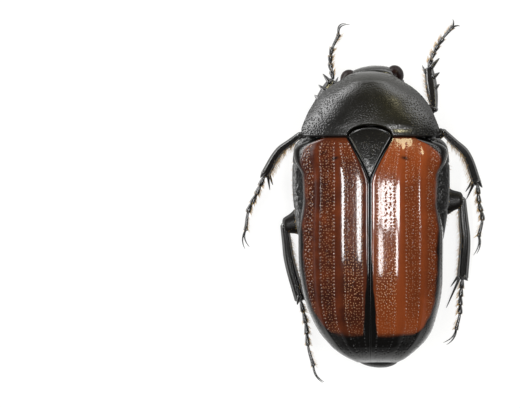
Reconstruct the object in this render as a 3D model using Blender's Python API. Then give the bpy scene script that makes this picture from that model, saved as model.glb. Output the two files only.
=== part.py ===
"""A life-size flower beetle, legs spread as on a dried specimen, standing on the floor.

Lengths in the tables and constants are millimetres, and the last step turns them into metres.
+Y points to the head, +X to the beetle's right and +Z up. While it is being modelled the floor is
z = 0 and the body's midline is x = 0. At the end an empty carries every piece so that the origin
lies on the floor below the middle of the whole beetle.
"""

import math

import bmesh
import bpy
import numpy as np
from mathutils import Euler, Matrix, Vector

MM = 0.001

# Driving dimensions
BODY_LENGTH = 24.0
BODY_HALF_WIDTH = 6.3
BELLY_CLEARANCE = 1.3
DISC_HEIGHT = 9.6
GAP = 0.2

# Places along the body
HEAD_FRONT = BODY_LENGTH / 2
PRONOTUM_FRONT = HEAD_FRONT - 0.45
PRONOTUM_BASE = 6.4
ELYTRA_FRONT = PRONOTUM_BASE - GAP
ELYTRA_TIP = -BODY_LENGTH / 2 + 0.3
THORAX_REAR = -1.8
ABDOMEN_REAR = -11.1

# Colours, roughness and metallic value of the finishes
FINISHES = {
    "black_cuticle": ((0.012, 0.012, 0.014), 0.32, 0.0),
    "chestnut_cuticle": ((0.17, 0.032, 0.008), 0.22, 0.0),
    "eye": ((0.022, 0.010, 0.008), 0.15, 0.0),
    "dark_limb": ((0.014, 0.013, 0.011), 0.30, 0.0),
}

# Elytra: (place along Y, value), rear to front. The right one lies a little open behind.
ELYTRA_FRONT_WIDTH = (
    (-3.5, 5.76),
    (-1.5, 5.78),
    (1.3, 5.42),
    (3.2, 5.5),
    (4.4, 6.05),
    (5.1, 6.15),
    (5.7, 5.7),
    (6.2, 4.4),
)
LEFT_HALF_WIDTH = (
    (-11.7, 1.1),
    (-11.3, 1.95),
    (-10.7, 2.85),
    (-10.1, 3.45),
    (-9.44, 4.0),
    (-8.8, 4.4),
    (-8.16, 4.72),
    (-7.4, 5.05),
    (-5.7, 5.5),
) + ELYTRA_FRONT_WIDTH
RIGHT_HALF_WIDTH = (
    (-11.7, 2.1),
    (-11.45, 2.65),
    (-11.2, 3.0),
    (-10.67, 3.65),
    (-10.1, 4.23),
    (-9.4, 4.73),
    (-8.8, 5.0),
    (-8.16, 5.2),
    (-7.5, 5.38),
    (-6.9, 5.52),
    (-5.7, 5.7),
) + ELYTRA_FRONT_WIDTH
ELYTRA_MARGIN_HEIGHT = ((-11.7, 4.6), (-9.0, 4.55), (-4.0, 4.65), (0.0, 4.95), (4.0, 5.4), (6.2, 6.3))
ELYTRA_TOP_HEIGHT = (
    (-11.7, 4.9),
    (-11.5, 5.7),
    (-11.2, 6.4),
    (-10.7, 7.0),
    (-10.0, 7.42),
    (-8.5, 8.12),
    (-6.0, 8.95),
    (-3.0, 9.45),
    (1.0, DISC_HEIGHT),
    (4.0, 9.47),
    (5.2, 9.2),
    (6.2, 8.85),
)
ELYTRON_THICKNESS = 0.5
DOME_CURVE = 0.043
FLANK_WIDTH = ((-11.7, 0.9), (-10.2, 1.5), (-8.5, 1.1), (-6.0, 0.75), (4.0, 0.7), (6.2, 1.5))
FLANK_POWER = 4
FLANK_FALL = 2.5

# Ridges that run the length of an elytron: (share of the half width, height, width as a share)
ELYTRON_RIDGES = ((0.04, 0.1, 0.035), (0.43, 0.1, 0.05), (0.75, 0.06, 0.05))
ELYTRON_STEPS = (0.0, 0.04, 0.12, 0.22, 0.34, 0.45, 0.56, 0.67, 0.77, 0.86, 0.93, 0.97, 0.99, 1.0)
ELYTRON_PLACES = (
    *(ELYTRA_TIP, -11.5, -11.2, -10.8, -10.2, -9.4, -8.5, -7.5, -6.5, -5.5, -4.5, -3.5, -2.5, -1.5),
    *(-0.5, 0.5, 1.6, 2.7, 3.4, 4.1, 4.7, 5.3, 5.8, ELYTRA_FRONT),
)

# Scutellum: a long triangle let into the front of the elytra
SCUTELLUM_HALF_WIDTH = 1.72
SCUTELLUM_TIP = 2.85
SCUTELLUM_SHOULDER = 6.3
SCUTELLUM_FRONT = 7.1
SCUTELLUM_THICKNESS = 0.6

# Prothorax
PRONOTUM_HALF_WIDTH = (
    (6.4, 5.25),
    (6.85, 5.42),
    (7.5, 5.22),
    (8.6, 4.72),
    (9.55, 4.05),
    (10.3, 3.2),
    (10.8, 2.4),
    (11.2, 1.8),
    (PRONOTUM_FRONT, 1.25),
)
PRONOTUM_TOP = (
    (6.4, 9.08),
    (8.0, 8.88),
    (9.5, 8.5),
    (10.4, 8.06),
    (10.8, 7.78),
    (11.15, 7.25),
    (11.4, 6.65),
    (PRONOTUM_FRONT, 6.0),
)
PRONOTUM_SIDE = (
    (6.4, 7.6),
    (7.6, 7.35),
    (8.8, 6.95),
    (9.5, 6.9),
    (10.5, 6.55),
    (11.2, 6.2),
    (PRONOTUM_FRONT, 5.6),
)
PRONOTUM_UNDER = ((6.4, 2.7), (8.0, 2.3), (9.6, 2.6), (10.6, 3.3), (11.2, 4.1), (PRONOTUM_FRONT, 4.7))

# Middle and hind thorax with their side plates
THORAX_HALF_WIDTH = (
    (THORAX_REAR, 5.8),
    (-0.6, 6.0),
    (0.5, 6.15),
    (2.5, BODY_HALF_WIDTH),
    (5.0, 6.2),
    (5.8, 5.95),
    (6.2, 5.5),
)
THORAX_UNDER = (
    (THORAX_REAR, 1.6),
    (0.2, 1.4),
    (1.0, BELLY_CLEARANCE),
    (3.8, BELLY_CLEARANCE),
    (4.8, 1.7),
    (6.2, 2.5),
)
BREAST_PROCESS_PLACE = (0, 4.85, 1.65)
BREAST_PROCESS_RADII = (0.65, 1.25, 0.55)

# Abdomen
ABDOMEN_UNDER = ((ABDOMEN_REAR, 2.9), (-10.0, 2.3), (-8.0, 1.85), (-5.0, 1.6), (-2.0, 1.55))
STERNITE_EDGES = (-3.9, -5.5, -7.0, -8.4, -9.8)
STERNITE_STEP = 0.1
ABDOMEN_SHOWS = ((ABDOMEN_REAR, -0.5), (-9.8, -0.2), (-8.4, -0.12), (-2.0, -0.05))
PYGIDIUM_DEPTH = 0.85
PYGIDIUM_SWING = 0.3

# Head: stations run from the neck to the clypeus, on an axis bent down from straight ahead
HEAD_ROOT = (0.1, 10.85, 4.9)
HEAD_BEND = math.radians(85)
HEAD_TURN = math.radians(5.5)
EYE_RADII = (0.72, 0.8, 0.75)
EYE_PLACE = (1.83, 0.45, 0.2)


def along(table, place):
    """Value of a (place, value) table at a place, by a smooth curve through its points.

    The curve is a cubic in each stretch, and its slopes are kept low enough not to overshoot.
    """
    xs, ys = np.array(table, float).T
    steps = np.diff(xs)
    rises = np.diff(ys) / steps
    slopes = np.concatenate([[rises[0]], (rises[:-1] + rises[1:]) / 2, [rises[-1]]])
    turns = np.concatenate([[False], rises[:-1] * rises[1:] <= 0, [False]])
    slopes[turns] = 0
    limit = 3 * np.minimum(np.abs(np.append(rises, rises[-1])), np.abs(np.insert(rises, 0, rises[0])))
    slopes = np.clip(slopes, -limit, limit)
    place = np.clip(place, xs[0], xs[-1])
    i = int(np.clip(np.searchsorted(xs, place) - 1, 0, len(steps) - 1))
    t = (place - xs[i]) / steps[i]
    return float(
        (2 * t**3 - 3 * t**2 + 1) * ys[i]
        + (t**3 - 2 * t**2 + t) * steps[i] * slopes[i]
        + (3 * t**2 - 2 * t**3) * ys[i + 1]
        + (t**3 - t**2) * steps[i] * slopes[i + 1]
    )


def smooth_path(points, count):
    """Evenly shared points on a smooth curve through a few given ones."""
    lengths = np.cumsum([0] + [math.dist(a, b) for a, b in zip(points, points[1:])])
    tables = [[(s, p[k]) for s, p in zip(lengths, points)] for k in range(3)]
    return [Vector([along(t, s) for t in tables]) for s in np.linspace(0, lengths[-1], count)]


def signed_power(value, power):
    """Power of a value's size, with the value's sign."""
    return math.copysign(abs(value) ** power, value)


def new_object(name, mesh_data):
    obj = bpy.data.objects.new(name, mesh_data)
    bpy.context.scene.collection.objects.link(obj)
    return obj


def solid_from(name, mesh):
    """Object from a closed bmesh, with its faces turned outwards."""
    bmesh.ops.recalc_face_normals(mesh, faces=mesh.faces)
    data = bpy.data.meshes.new(name)
    mesh.to_mesh(data)
    mesh.free()
    return new_object(name, data)


def loft(name, rings):
    """Closed body through rings of equal point count, with a flat face at each end."""
    mesh = bmesh.new()
    loops = [[mesh.verts.new(point) for point in ring] for ring in rings]
    for here, there in zip(loops, loops[1:]):
        for i in range(len(here)):
            j = (i + 1) % len(here)
            mesh.faces.new((here[i], here[j], there[j], there[i]))
    mesh.faces.new(loops[0])
    mesh.faces.new(loops[-1])
    bmesh.ops.triangulate(mesh, faces=mesh.faces)
    return solid_from(name, mesh)


def evaluated(obj):
    """Replaces an object's mesh by what its modifiers make of it."""
    graph = bpy.context.evaluated_depsgraph_get()
    data = bpy.data.meshes.new_from_object(obj.evaluated_get(graph))
    obj.modifiers.clear()
    obj.data = data


def keep_largest(obj):
    """Drops every closed surface of a mesh but the one with the largest volume."""
    mesh = bmesh.new()
    mesh.from_mesh(obj.data)
    bodies = []
    left = set(mesh.faces)
    while left:
        body = set()
        edge_of_body = [left.pop()]
        while edge_of_body:
            face = edge_of_body.pop()
            body.add(face)
            for edge in face.edges:
                near = left.intersection(edge.link_faces)
                left -= near
                edge_of_body.extend(near)
        bodies.append(body)

    def volume(faces):
        total = 0.0
        for face in faces:
            corners = [v.co for v in face.verts]
            for b, c in zip(corners[1:], corners[2:]):
                total += corners[0].dot(b.cross(c))
        return abs(total)

    largest = max(bodies, key=volume)
    loose = [face for body in bodies if body is not largest for face in body]
    bmesh.ops.delete(mesh, geom=loose, context="FACES")
    bmesh.ops.triangulate(mesh, faces=mesh.faces)
    mesh.to_mesh(obj.data)
    mesh.free()


def combine(obj, others, operation):
    """One Boolean of an object with several others, which are removed afterwards."""
    if not others:
        return obj
    group = bpy.data.collections.new("pieces")
    bpy.context.scene.collection.children.link(group)
    for other in others:
        bpy.context.scene.collection.objects.unlink(other)
        group.objects.link(other)
    join = obj.modifiers.new("join", "BOOLEAN")
    join.operation = operation
    join.operand_type = "COLLECTION"
    join.collection = group
    join.solver = "EXACT"
    evaluated(obj)
    for other in others:
        bpy.data.objects.remove(other)
    bpy.data.collections.remove(group)
    keep_largest(obj)
    return obj


def fuse(obj, others):
    return combine(obj, others, "UNION")


def carve(obj, cutters):
    return combine(obj, cutters, "DIFFERENCE")


def body_ring(y, half_width, side, top, under, count=28, top_powers=(2.6, 1.07), under_powers=(2.2, 2.2)):
    """Cross-section of the body at y: an arch above its widest line and a keel below it.

    The powers are those of a superellipse across and upwards.
    """
    ring = []
    for i in range(count):
        angle = 2 * math.pi * i / count
        over = math.sin(angle) >= 0
        across, upward = top_powers if over else under_powers
        height = top - side if over else side - under
        x = half_width * signed_power(math.cos(angle), 2 / across)
        z = side + height * signed_power(math.sin(angle), 2 / upward)
        ring.append((x, y, z))
    return ring


def limb(name, points, radii, sides=8, steps=None, grow=0.0, floor=None):
    """Tapered tube of oval section through a few points.

    radii holds (half width, half thickness) at each point. grow makes the tube fatter and longer all
    round, for a cutter that keeps a gap. floor flattens what would reach below that height.
    """
    count = steps or len(points)
    path = smooth_path(points, count) if steps else [Vector(p) for p in points]
    spread = np.cumsum([0] + [math.dist(a, b) for a, b in zip(points, points[1:])])
    spread = spread / spread[-1] if steps else np.linspace(0, 1, count)
    widths = [along(list(zip(spread, [r[0] for r in radii])), t) for t in np.linspace(0, 1, count)]
    depths = [along(list(zip(spread, [r[1] for r in radii])), t) for t in np.linspace(0, 1, count)]
    if grow:
        path[0] = path[0] + (path[0] - path[1]).normalized() * grow
        path[-1] = path[-1] + (path[-1] - path[-2]).normalized() * grow
    rings = []
    first = path[1] - path[0]
    side = first.cross(Vector((0, 0, 1)))
    if side.length < 0.3 * first.length:
        side = Vector((1, 0, 0))
    for i, centre in enumerate(path):
        ahead = (path[min(i + 1, count - 1)] - path[max(i - 1, 0)]).normalized()
        side = (side - ahead * side.dot(ahead)).normalized()
        up = side.cross(ahead)
        ring = []
        for k in range(sides):
            angle = 2 * math.pi * (k + 0.5) / sides
            point = centre + side * math.cos(angle) * (widths[i] + grow)
            point = point + up * math.sin(angle) * (depths[i] + grow)
            if floor is not None:
                point.z = max(point.z, floor)
            ring.append(point)
        rings.append(ring)
    return loft(name, rings)


def spine(root, tip, radius, bend=(0, 0, 0), sides=6, tip_radius=0.05):
    """Tapered thorn from root to tip, its middle pushed aside by bend."""
    root = Vector(root)
    tip = Vector(tip)
    bend = Vector(bend)
    middle = (root + tip) / 2 + bend
    points = [root, (root + middle) / 2 + bend * 0.25, middle, (middle + tip) / 2 + bend * 0.15, tip]
    radii = [radius + (tip_radius - radius) * t for t in (0, 0.2, 0.45, 0.75, 1)]
    return limb("spine", points, [(r, r) for r in radii], sides=sides)


def ellipsoid(name, centre, radii, turn, grow=0.0, rings=10, segments=14):
    """Closed egg shape with its own half axes, turned and placed."""
    mesh = bmesh.new()
    bmesh.ops.create_uvsphere(mesh, u_segments=segments, v_segments=rings, radius=1)
    sizes = Matrix.Diagonal([r + grow for r in radii]).to_4x4()
    mesh.transform(Matrix.Translation(centre) @ turn.to_matrix().to_4x4() @ sizes)
    bmesh.ops.triangulate(mesh, faces=mesh.faces)
    return solid_from(name, mesh)


def dome_height(x, half, y, inset=0.0):
    """Height of the elytra at x, or of a dome inset below them: a shallow arch with steep flanks."""
    margin = along(ELYTRA_MARGIN_HEIGHT, y)
    rise = along(ELYTRA_TOP_HEIGHT, y) - margin - inset - DOME_CURVE * x * x
    width = along(FLANK_WIDTH, y)
    share = min(max((x - half + width) / width, 0.0), 1.0)
    return margin + max(rise, 0.0) * (1 - share**FLANK_POWER) ** (1 / FLANK_FALL)


def body_middle(y):
    """Middle and half width of the body under both elytra."""
    left = along(LEFT_HALF_WIDTH, y)
    right = along(RIGHT_HALF_WIDTH, y)
    return (right - left) / 2, (right + left) / 2


def scutellum_half_width(y, grow=0.0):
    """Half width of the scutellum: straight sides with a slight inward curve, and an arc in front."""
    if y >= SCUTELLUM_SHOULDER:
        ahead = (y - SCUTELLUM_SHOULDER) / (SCUTELLUM_FRONT + grow - SCUTELLUM_SHOULDER)
        return (SCUTELLUM_HALF_WIDTH + grow) * math.sqrt(max(0.0, 1 - ahead**2))
    share = (y - SCUTELLUM_TIP) / (SCUTELLUM_SHOULDER - SCUTELLUM_TIP)
    return SCUTELLUM_HALF_WIDTH * max(share, 0.0) ** 1.15


def elytron(side):
    """One wing case: a ridged dome over half the back with an even wall, notched for the scutellum."""
    widths = RIGHT_HALF_WIDTH if side > 0 else LEFT_HALF_WIDTH
    mesh = bmesh.new()
    sheets = []
    for inset in (0.0, ELYTRON_THICKNESS):
        rows = []
        for y in ELYTRON_PLACES:
            half = along(widths, y) - inset
            inner = GAP / 2
            if y > SCUTELLUM_TIP - GAP:
                inner = max(inner, scutellum_half_width(y) + GAP)
            row = []
            for step in ELYTRON_STEPS:
                x = inner + (half - inner) * step
                z = dome_height(x, half, y, inset)
                if not inset:
                    fade = min(1.0, (y - ELYTRA_TIP) / 2.5)
                    for place, height, width in ELYTRON_RIDGES:
                        z += fade * height * math.exp(-(((step - place) / width) ** 2))
                row.append(mesh.verts.new((side * x, y, z)))
            rows.append(row)
        sheets.append(rows)
    outer, lining = sheets
    for rows in sheets:
        for here, there in zip(rows, rows[1:]):
            for i in range(len(here) - 1):
                mesh.faces.new((here[i], here[i + 1], there[i + 1], there[i]))
    borders = [
        (outer[0], lining[0]),
        (outer[-1], lining[-1]),
        ([row[0] for row in outer], [row[0] for row in lining]),
        ([row[-1] for row in outer], [row[-1] for row in lining]),
    ]
    for above, below in borders:
        for i in range(len(above) - 1):
            mesh.faces.new((above[i], above[i + 1], below[i + 1], below[i]))
    bmesh.ops.triangulate(mesh, faces=mesh.faces)
    return solid_from("elytron_right" if side > 0 else "elytron_left", mesh)


def core_ring(y, half_width, side, under, count=8):
    """Cross-section of thorax or abdomen: a keel below, a ledge under the elytra, a dome inside them."""
    margin = along(ELYTRA_MARGIN_HEIGHT, y)
    inset = ELYTRON_THICKNESS + GAP * 1.5
    ledge = margin - GAP - 0.1
    centre = body_middle(y)[0]
    narrowest = min(body_middle(y + step)[1] for step in (-0.6, 0, 0.6))
    inner = min(narrowest - inset - 0.2, half_width - 0.12)
    below = []
    for i in range(count + 1):
        angle = math.pi / 2 * i / count
        x = half_width * math.sin(angle) ** (2 / 2.4)
        z = side - (side - under) * math.cos(angle) ** (2 / 2.4)
        below.append((x, y, z))
    above = []
    for i in range(count):
        angle = math.pi / 2 * i / count
        x = inner * math.cos(angle)
        top = dome_height(x * 1.02, inner + inset, y, inset * 1.25)
        above.append((x, y, max(ledge, ledge + (top - ledge) * math.sin(angle) ** 0.7)))
    above[0] = (inner, y, ledge)
    right = below + [(half_width - 0.1, y, ledge)] + above
    top_middle = (0.0, y, dome_height(0.0, inner + inset, y, inset * 1.25))
    left = [(-x, yy, z) for x, yy, z in reversed(right[1:])]
    return [(x + centre, yy, z) for x, yy, z in right + [top_middle] + left]


def thorax():
    """Middle and hind thorax: breast plates and the side plates that show beside the shoulders."""
    places = (THORAX_REAR, -1.0, 0.0, 0.8, 1.8, 3.0, 4.0, 4.7, 5.3, 5.8, ELYTRA_FRONT)
    rings = []
    for y in places:
        side = along(ELYTRA_MARGIN_HEIGHT, y) - 0.75
        rings.append(core_ring(y, along(THORAX_HALF_WIDTH, y), side, along(THORAX_UNDER, y)))
    process = ellipsoid("process", BREAST_PROCESS_PLACE, BREAST_PROCESS_RADII, Euler(), rings=8, segments=12)
    return fuse(loft("thorax", rings), [process])


def abdomen():
    """Belly rings under the elytra, each stepped down a little behind its edge."""
    places = [THORAX_REAR - GAP]
    for edge in STERNITE_EDGES:
        places += [edge + 0.06, edge - 0.06]
    places += [-10.6, ABDOMEN_REAR]
    rings = []
    for i, y in enumerate(places):
        step = STERNITE_STEP if i % 2 else 0.0
        half = body_middle(y)[1] + along(ABDOMEN_SHOWS, y)
        side = along(ELYTRA_MARGIN_HEIGHT, y) - 0.6
        rings.append(core_ring(y, half - step, side, along(ABDOMEN_UNDER, y) + step))
    return loft("abdomen", rings)


def pygidium():
    """The rounded end plate below the tips of the elytra, as broad as the abdomen where they meet."""
    start = ABDOMEN_REAR - GAP
    centre, half = body_middle(ABDOMEN_REAR)
    half -= 0.95
    top = along(ELYTRA_MARGIN_HEIGHT, ELYTRA_TIP) - GAP - 0.05
    under = along(ABDOMEN_UNDER, ABDOMEN_REAR)
    side = (top + under) / 2
    rings = []
    for angle in np.radians((0, 25, 45, 62, 76)):
        shrink = math.cos(angle)
        y = start - PYGIDIUM_DEPTH * math.sin(angle)
        height = (top - side) * shrink
        ring = body_ring(y, half * shrink, side, side + height, side - height, 20, (2.3, 2.3), (2.3, 2.3))
        swing = centre + PYGIDIUM_SWING * math.sin(angle)
        rings.append([(x + swing, yy, z) for x, yy, z in ring])
    return loft("pygidium", rings)


def scutellum():
    """Flat triangular plate with an arched front edge, level with the disc of the elytra."""
    places = [SCUTELLUM_TIP + 0.35, 3.9, 4.7, 5.5, SCUTELLUM_SHOULDER, 6.65, 6.9, 7.03]
    outline = [(scutellum_half_width(y), y) for y in places]
    outline += [(-x, y) for x, y in reversed(outline)]
    rings = []
    for depth, shrink in ((SCUTELLUM_THICKNESS, 1.0), (0.1, 1.0), (0.0, 0.93)):
        ring = []
        for x, y in outline:
            top = along(ELYTRA_TOP_HEIGHT, min(y, ELYTRA_FRONT)) + 0.04
            ring.append((x * shrink, y, top - depth))
        rings.append(ring)
    return loft("scutellum", rings)


def prothorax():
    """Shield of the first thorax segment with its underside."""
    places = (6.4, 6.65, 7.0, 7.6, 8.4, 9.2, 9.8, 10.3, 10.7, 11.0, 11.25, 11.42, PRONOTUM_FRONT)
    rings = []
    for y in places:
        rings.append(
            body_ring(
                y,
                along(PRONOTUM_HALF_WIDTH, y),
                along(PRONOTUM_SIDE, y),
                along(PRONOTUM_TOP, y),
                along(PRONOTUM_UNDER, y),
            )
        )
    return loft("prothorax", rings)


def head_place(right, down, out):
    """World place of a point given in the head's own axes: right, down along the face, and out of it."""
    bend = Vector((0, math.cos(HEAD_BEND), -math.sin(HEAD_BEND)))
    face = Vector((0, math.sin(HEAD_BEND), math.cos(HEAD_BEND)))
    offset = Vector((right, 0, 0)) + bend * down + face * out
    offset.rotate(Euler((0, 0, HEAD_TURN)))
    return Vector(HEAD_ROOT) + offset


# Head sections: distance down the face, half width, thickness in front, thickness behind, hollow
HEAD_SECTIONS = (
    (-0.5, 1.35, 0.55, 0.7, 0.0),
    (-0.3, 1.75, 0.85, 1.0, 0.0),
    (0.0, 2.0, 1.02, 1.2, 0.0),
    (0.5, 2.12, 1.1, 1.25, 0.0),
    (1.0, 1.95, 1.08, 1.2, 0.0),
    (1.5, 1.6, 1.0, 1.1, 0.05),
    (2.1, 1.4, 0.88, 0.8, 0.15),
    (2.9, 1.36, 0.72, 0.45, 0.22),
    (3.5, 1.32, 0.6, 0.25, 0.22),
    (3.75, 1.15, 0.5, 0.15, 0.1),
)
CLYPEUS_NOTCH = 0.35
LEAF_RADII = ((0.2, 0.16), (0.26, 0.2), (0.16, 0.12))


def head_body(name, grow=0.0, count=20):
    """Head capsule and clypeus, whose front edge is notched between two blunt teeth."""
    rings = []
    for index, (down, half, front, back, hollow) in enumerate(HEAD_SECTIONS):
        notch = CLYPEUS_NOTCH if index >= len(HEAD_SECTIONS) - 2 else 0.0
        if grow and index in (0, len(HEAD_SECTIONS) - 1):
            down += grow if index else -grow
        ring = []
        for i in range(count):
            angle = 2 * math.pi * i / count
            x = half * signed_power(math.cos(angle), 2 / 2.3)
            out = (front if math.sin(angle) > 0 else back) * signed_power(math.sin(angle), 2 / 2.3)
            middle = 1 - (x / half) ** 2
            if out > 0:
                out -= hollow * middle
            ring.append(head_place(x * (1 + grow / half), down - notch * middle, out * (1 + grow / front)))
        rings.append(ring)
    return loft(name, rings)


def eye(side, grow=0.0):
    name = "eye_right" if side > 0 else "eye_left"
    right, down, out = EYE_PLACE
    centre = head_place(side * right, down, out)
    turn = Euler((0, 0, HEAD_TURN))
    width, depth, height = EYE_RADII
    return ellipsoid(name, centre, (width, depth, height), turn, grow)


def antenna(side):
    """Scape, bead-like shaft and a club of three leaves, folded down beside the mouth."""
    base = head_place(side * (1.62 + GAP), 1.75, 0.25)
    elbow = head_place(side * 2.25, 2.1, -0.35)
    bend = head_place(side * 2.3, 2.65, -0.7)
    shaft_end = head_place(side * 2.05, 3.1, -0.55)
    name = "antenna_right" if side > 0 else "antenna_left"
    count = 15
    beads = [0.22 + 0.05 * (i % 2) for i in range(count)]
    obj = limb(name, smooth_path([base, elbow, bend, shaft_end], count), [(r, r) for r in beads], sides=7)
    leaves = []
    for leaf in (-1, 0, 1):
        tip = head_place(side * (1.75 + 0.12 * leaf), 4.1, -0.25 + 0.3 * leaf)
        points = [shaft_end - (tip - shaft_end) * 0.1, (shaft_end + tip) / 2, tip]
        leaves.append(limb("leaf", points, LEAF_RADII, sides=6))
    return fuse(obj, leaves)


def mouthparts():
    """Chin plate behind the clypeus with the two feelers of the jaws."""
    rings = []
    for down, half, thick in ((2.35, 0.75, 0.3), (2.6, 0.85, 0.4), (3.2, 0.72, 0.38), (3.5, 0.5, 0.28)):
        middle = -1.32 + (down - 2.35) * 0.35
        ring = []
        for i in range(12):
            angle = 2 * math.pi * i / 12
            ring.append(head_place(half * math.cos(angle), down, middle + thick * math.sin(angle)))
        rings.append(ring)
    obj = loft("mouthparts", rings)
    palps = []
    for side in (-1, 1):
        points = [
            head_place(side * 0.5, 2.9, -1.3),
            head_place(side * 0.95, 3.4, -1.25),
            head_place(side * 1.0, 3.85, -1.0),
            head_place(side * 0.85, 4.2, -0.75),
        ]
        radii = [(r, r) for r in (0.2, 0.22, 0.23, 0.12)]
        palps.append(limb("palp", points, radii, sides=6, steps=7))
    return fuse(obj, palps)


# Legs. Places are (x, y, z) in millimetres: root of the thigh at the body, knee, ankle, and the foot's
# joints out to where the claws grow, then the claws' tips. Teeth and spurs are (root, tip).
LEGS = {
    "fore_left": {
        "coxa": (-1.25, 8.35, 1.85),
        "knee": (-4.75, 8.05, 2.0),
        "ankle": (-3.22, 10.9, 0.62),
        "foot": ((-3.36, 12.35, 0.25), (-3.3, 13.22, 0.24), (-2.68, 14.65, 0.24)),
        "claws": ((-1.8, 15.45, 0.25), (-2.1, 15.55, 0.12)),
        "claw_bend": (-0.3, 0.25, 0.12),
        "teeth": (
            ((-4.25, 9.45, 1.4), (-4.62, 9.72, 1.3)),
            ((-3.75, 10.1, 1.2), (-4.28, 10.55, 1.05)),
            ((-3.4, 10.8, 0.95), (-3.95, 11.45, 0.75)),
        ),
        "spurs": (((-2.95, 10.7), (-2.72, 11.2, 0.6)),),
    },
    "fore_right": {
        "coxa": (1.25, 8.35, 1.85),
        "knee": (5.05, 8.55, 2.0),
        "ankle": (4.6, 11.85, 0.62),
        "foot": ((4.95, 13.06, 0.25), (5.77, 14.4, 0.24), (6.52, 15.25, 0.24)),
        "claws": ((6.5, 15.86, 0.25), (7.09, 15.3, 0.25)),
        "claw_bend": (0.08, 0.08, 0.12),
        "teeth": (
            ((5.1, 10.3, 1.35), (5.45, 10.6, 1.3)),
            ((4.98, 11.2, 1.1), (5.45, 11.55, 1.0)),
            ((4.8, 12.0, 0.85), (5.43, 12.7, 0.7)),
        ),
        "spurs": (((4.3, 11.55), (4.06, 12.13, 0.6)),),
    },
    "mid_left": {
        "coxa": (-1.45, 4.7, 1.75),
        "knee": (-5.76, 6.5, 2.1),
        "ankle": (-8.62, 3.3, 0.66),
        "shin": (-7.4, 5.25, 1.45),
        "foot": ((-9.34, 1.75, 0.25), (-10.0, 0.35, 0.24), (-10.2, -1.15, 0.24)),
        "claws": ((-10.25, -2.68, 0.25), (-9.9, -2.5, 0.2)),
        "claw_bend": (-0.25, 0.0, 0.14),
        "teeth": (((-8.7, 3.5, 0.95), (-8.98, 3.1, 0.8)),),
        "spurs": (((-8.4, 3.3), (-8.24, 2.1, 0.45)), ((-8.28, 3.35), (-8.0, 2.5, 0.6))),
    },
    "mid_right": {
        "coxa": (1.45, 4.7, 1.75),
        "knee": (5.76, 6.75, 2.1),
        "ankle": (8.45, 2.65, 0.66),
        "shin": (7.5, 5.1, 1.45),
        "foot": ((8.64, 1.04, 0.25), (8.9, -0.2, 0.24), (8.6, -1.65, 0.24)),
        "claws": ((8.18, -3.18, 0.25), (8.45, -3.05, 0.15)),
        "claw_bend": (0.22, 0.05, 0.14),
        "teeth": (((8.55, 2.8, 0.95), (8.88, 2.3, 0.8)),),
        "spurs": (((8.2, 2.6), (7.62, 1.35, 0.45)), ((8.08, 2.75), (7.55, 1.95, 0.6))),
    },
    "hind_left": {
        "coxa": (-1.7, 0.55, 1.75),
        "knee": (-7.0, -0.78, 2.1),
        "ankle": (-5.78, -6.7, 0.68),
        "shin": (-6.66, -3.4, 1.45),
        "foot": ((-5.33, -8.77, 0.25), (-5.15, -10.6, 0.24), (-4.73, -12.1, 0.24)),
        "claws": ((-3.86, -13.41, 0.25), (-4.0, -13.45, 0.12)),
        "claw_bend": (-0.2, -0.12, 0.14),
        "teeth": (((-5.85, -6.5, 0.95), (-6.02, -7.15, 0.85)),),
        "spurs": (((-5.5, -6.4), (-4.95, -7.6, 0.45)), ((-5.4, -6.3), (-4.8, -6.95, 0.6))),
    },
    "hind_right": {
        "coxa": (1.7, 0.95, 1.75),
        "knee": (7.25, 1.3, 2.1),
        "ankle": (7.3, -4.95, 0.68),
        "shin": (7.5, -1.9, 1.45),
        "foot": ((7.13, -6.65, 0.25), (7.08, -7.9, 0.24), (6.78, -9.15, 0.24)),
        "claws": ((5.75, -10.22, 0.25), (6.0, -10.4, 0.15)),
        "claw_bend": (0.22, -0.1, 0.14),
        "teeth": (((7.4, -4.9, 0.95), (7.72, -5.2, 0.85)),),
        "spurs": (((7.1, -4.9), (6.0, -7.4, 0.45)), ((7.02, -4.75), (6.35, -5.7, 0.6))),
    },
}

# Half width and half thickness of each leg's pieces: thigh at its root, its widest and its knee, then
# the shin from the knee to the ankle
THIGH_WIDEST = {"fore": 0.5, "mid": 0.5, "hind": 0.8}
THIGH_RADII = {
    "fore": ((0.62, 0.45), (0.82, 0.48), (0.36, 0.34)),
    "mid": ((0.62, 0.45), (0.8, 0.48), (0.38, 0.35)),
    "hind": ((0.8, 0.46), (1.08, 0.5), (0.64, 0.38)),
}
SHIN_RADII = {
    "fore": ((0.28, 0.3), (0.42, 0.3), (0.46, 0.28), (0.36, 0.25)),
    "mid": ((0.27, 0.28), (0.32, 0.3), (0.34, 0.3), (0.36, 0.3)),
    "hind": ((0.33, 0.3), (0.4, 0.32), (0.43, 0.34), (0.44, 0.34)),
}
KNEE_RADIUS = 0.3
SPUR_LIFT = 0.3
SPUR_STAGGER = 0.27


def toward(start, end, distance):
    """Place a distance from start, on the line to end."""
    start = Vector(start)
    return start + (Vector(end) - start).normalized() * distance


def shin_middle(leg):
    """Place halfway down the tibia, which a bent one states for itself."""
    return Vector(leg.get("shin", (Vector(leg["knee"]) + Vector(leg["ankle"])) / 2))


def knee_setback(leg, width):
    """How far short of the knee the thigh stops, so that its end clears the shin by the gap."""
    back = (Vector(leg["coxa"]) - Vector(leg["knee"])).normalized()
    along_shin = (shin_middle(leg) - Vector(leg["knee"])).normalized()
    fold = max(back.dot(along_shin), 0.0)
    return (KNEE_RADIUS + GAP + width * fold) / math.sqrt(1 - fold**2)


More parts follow.
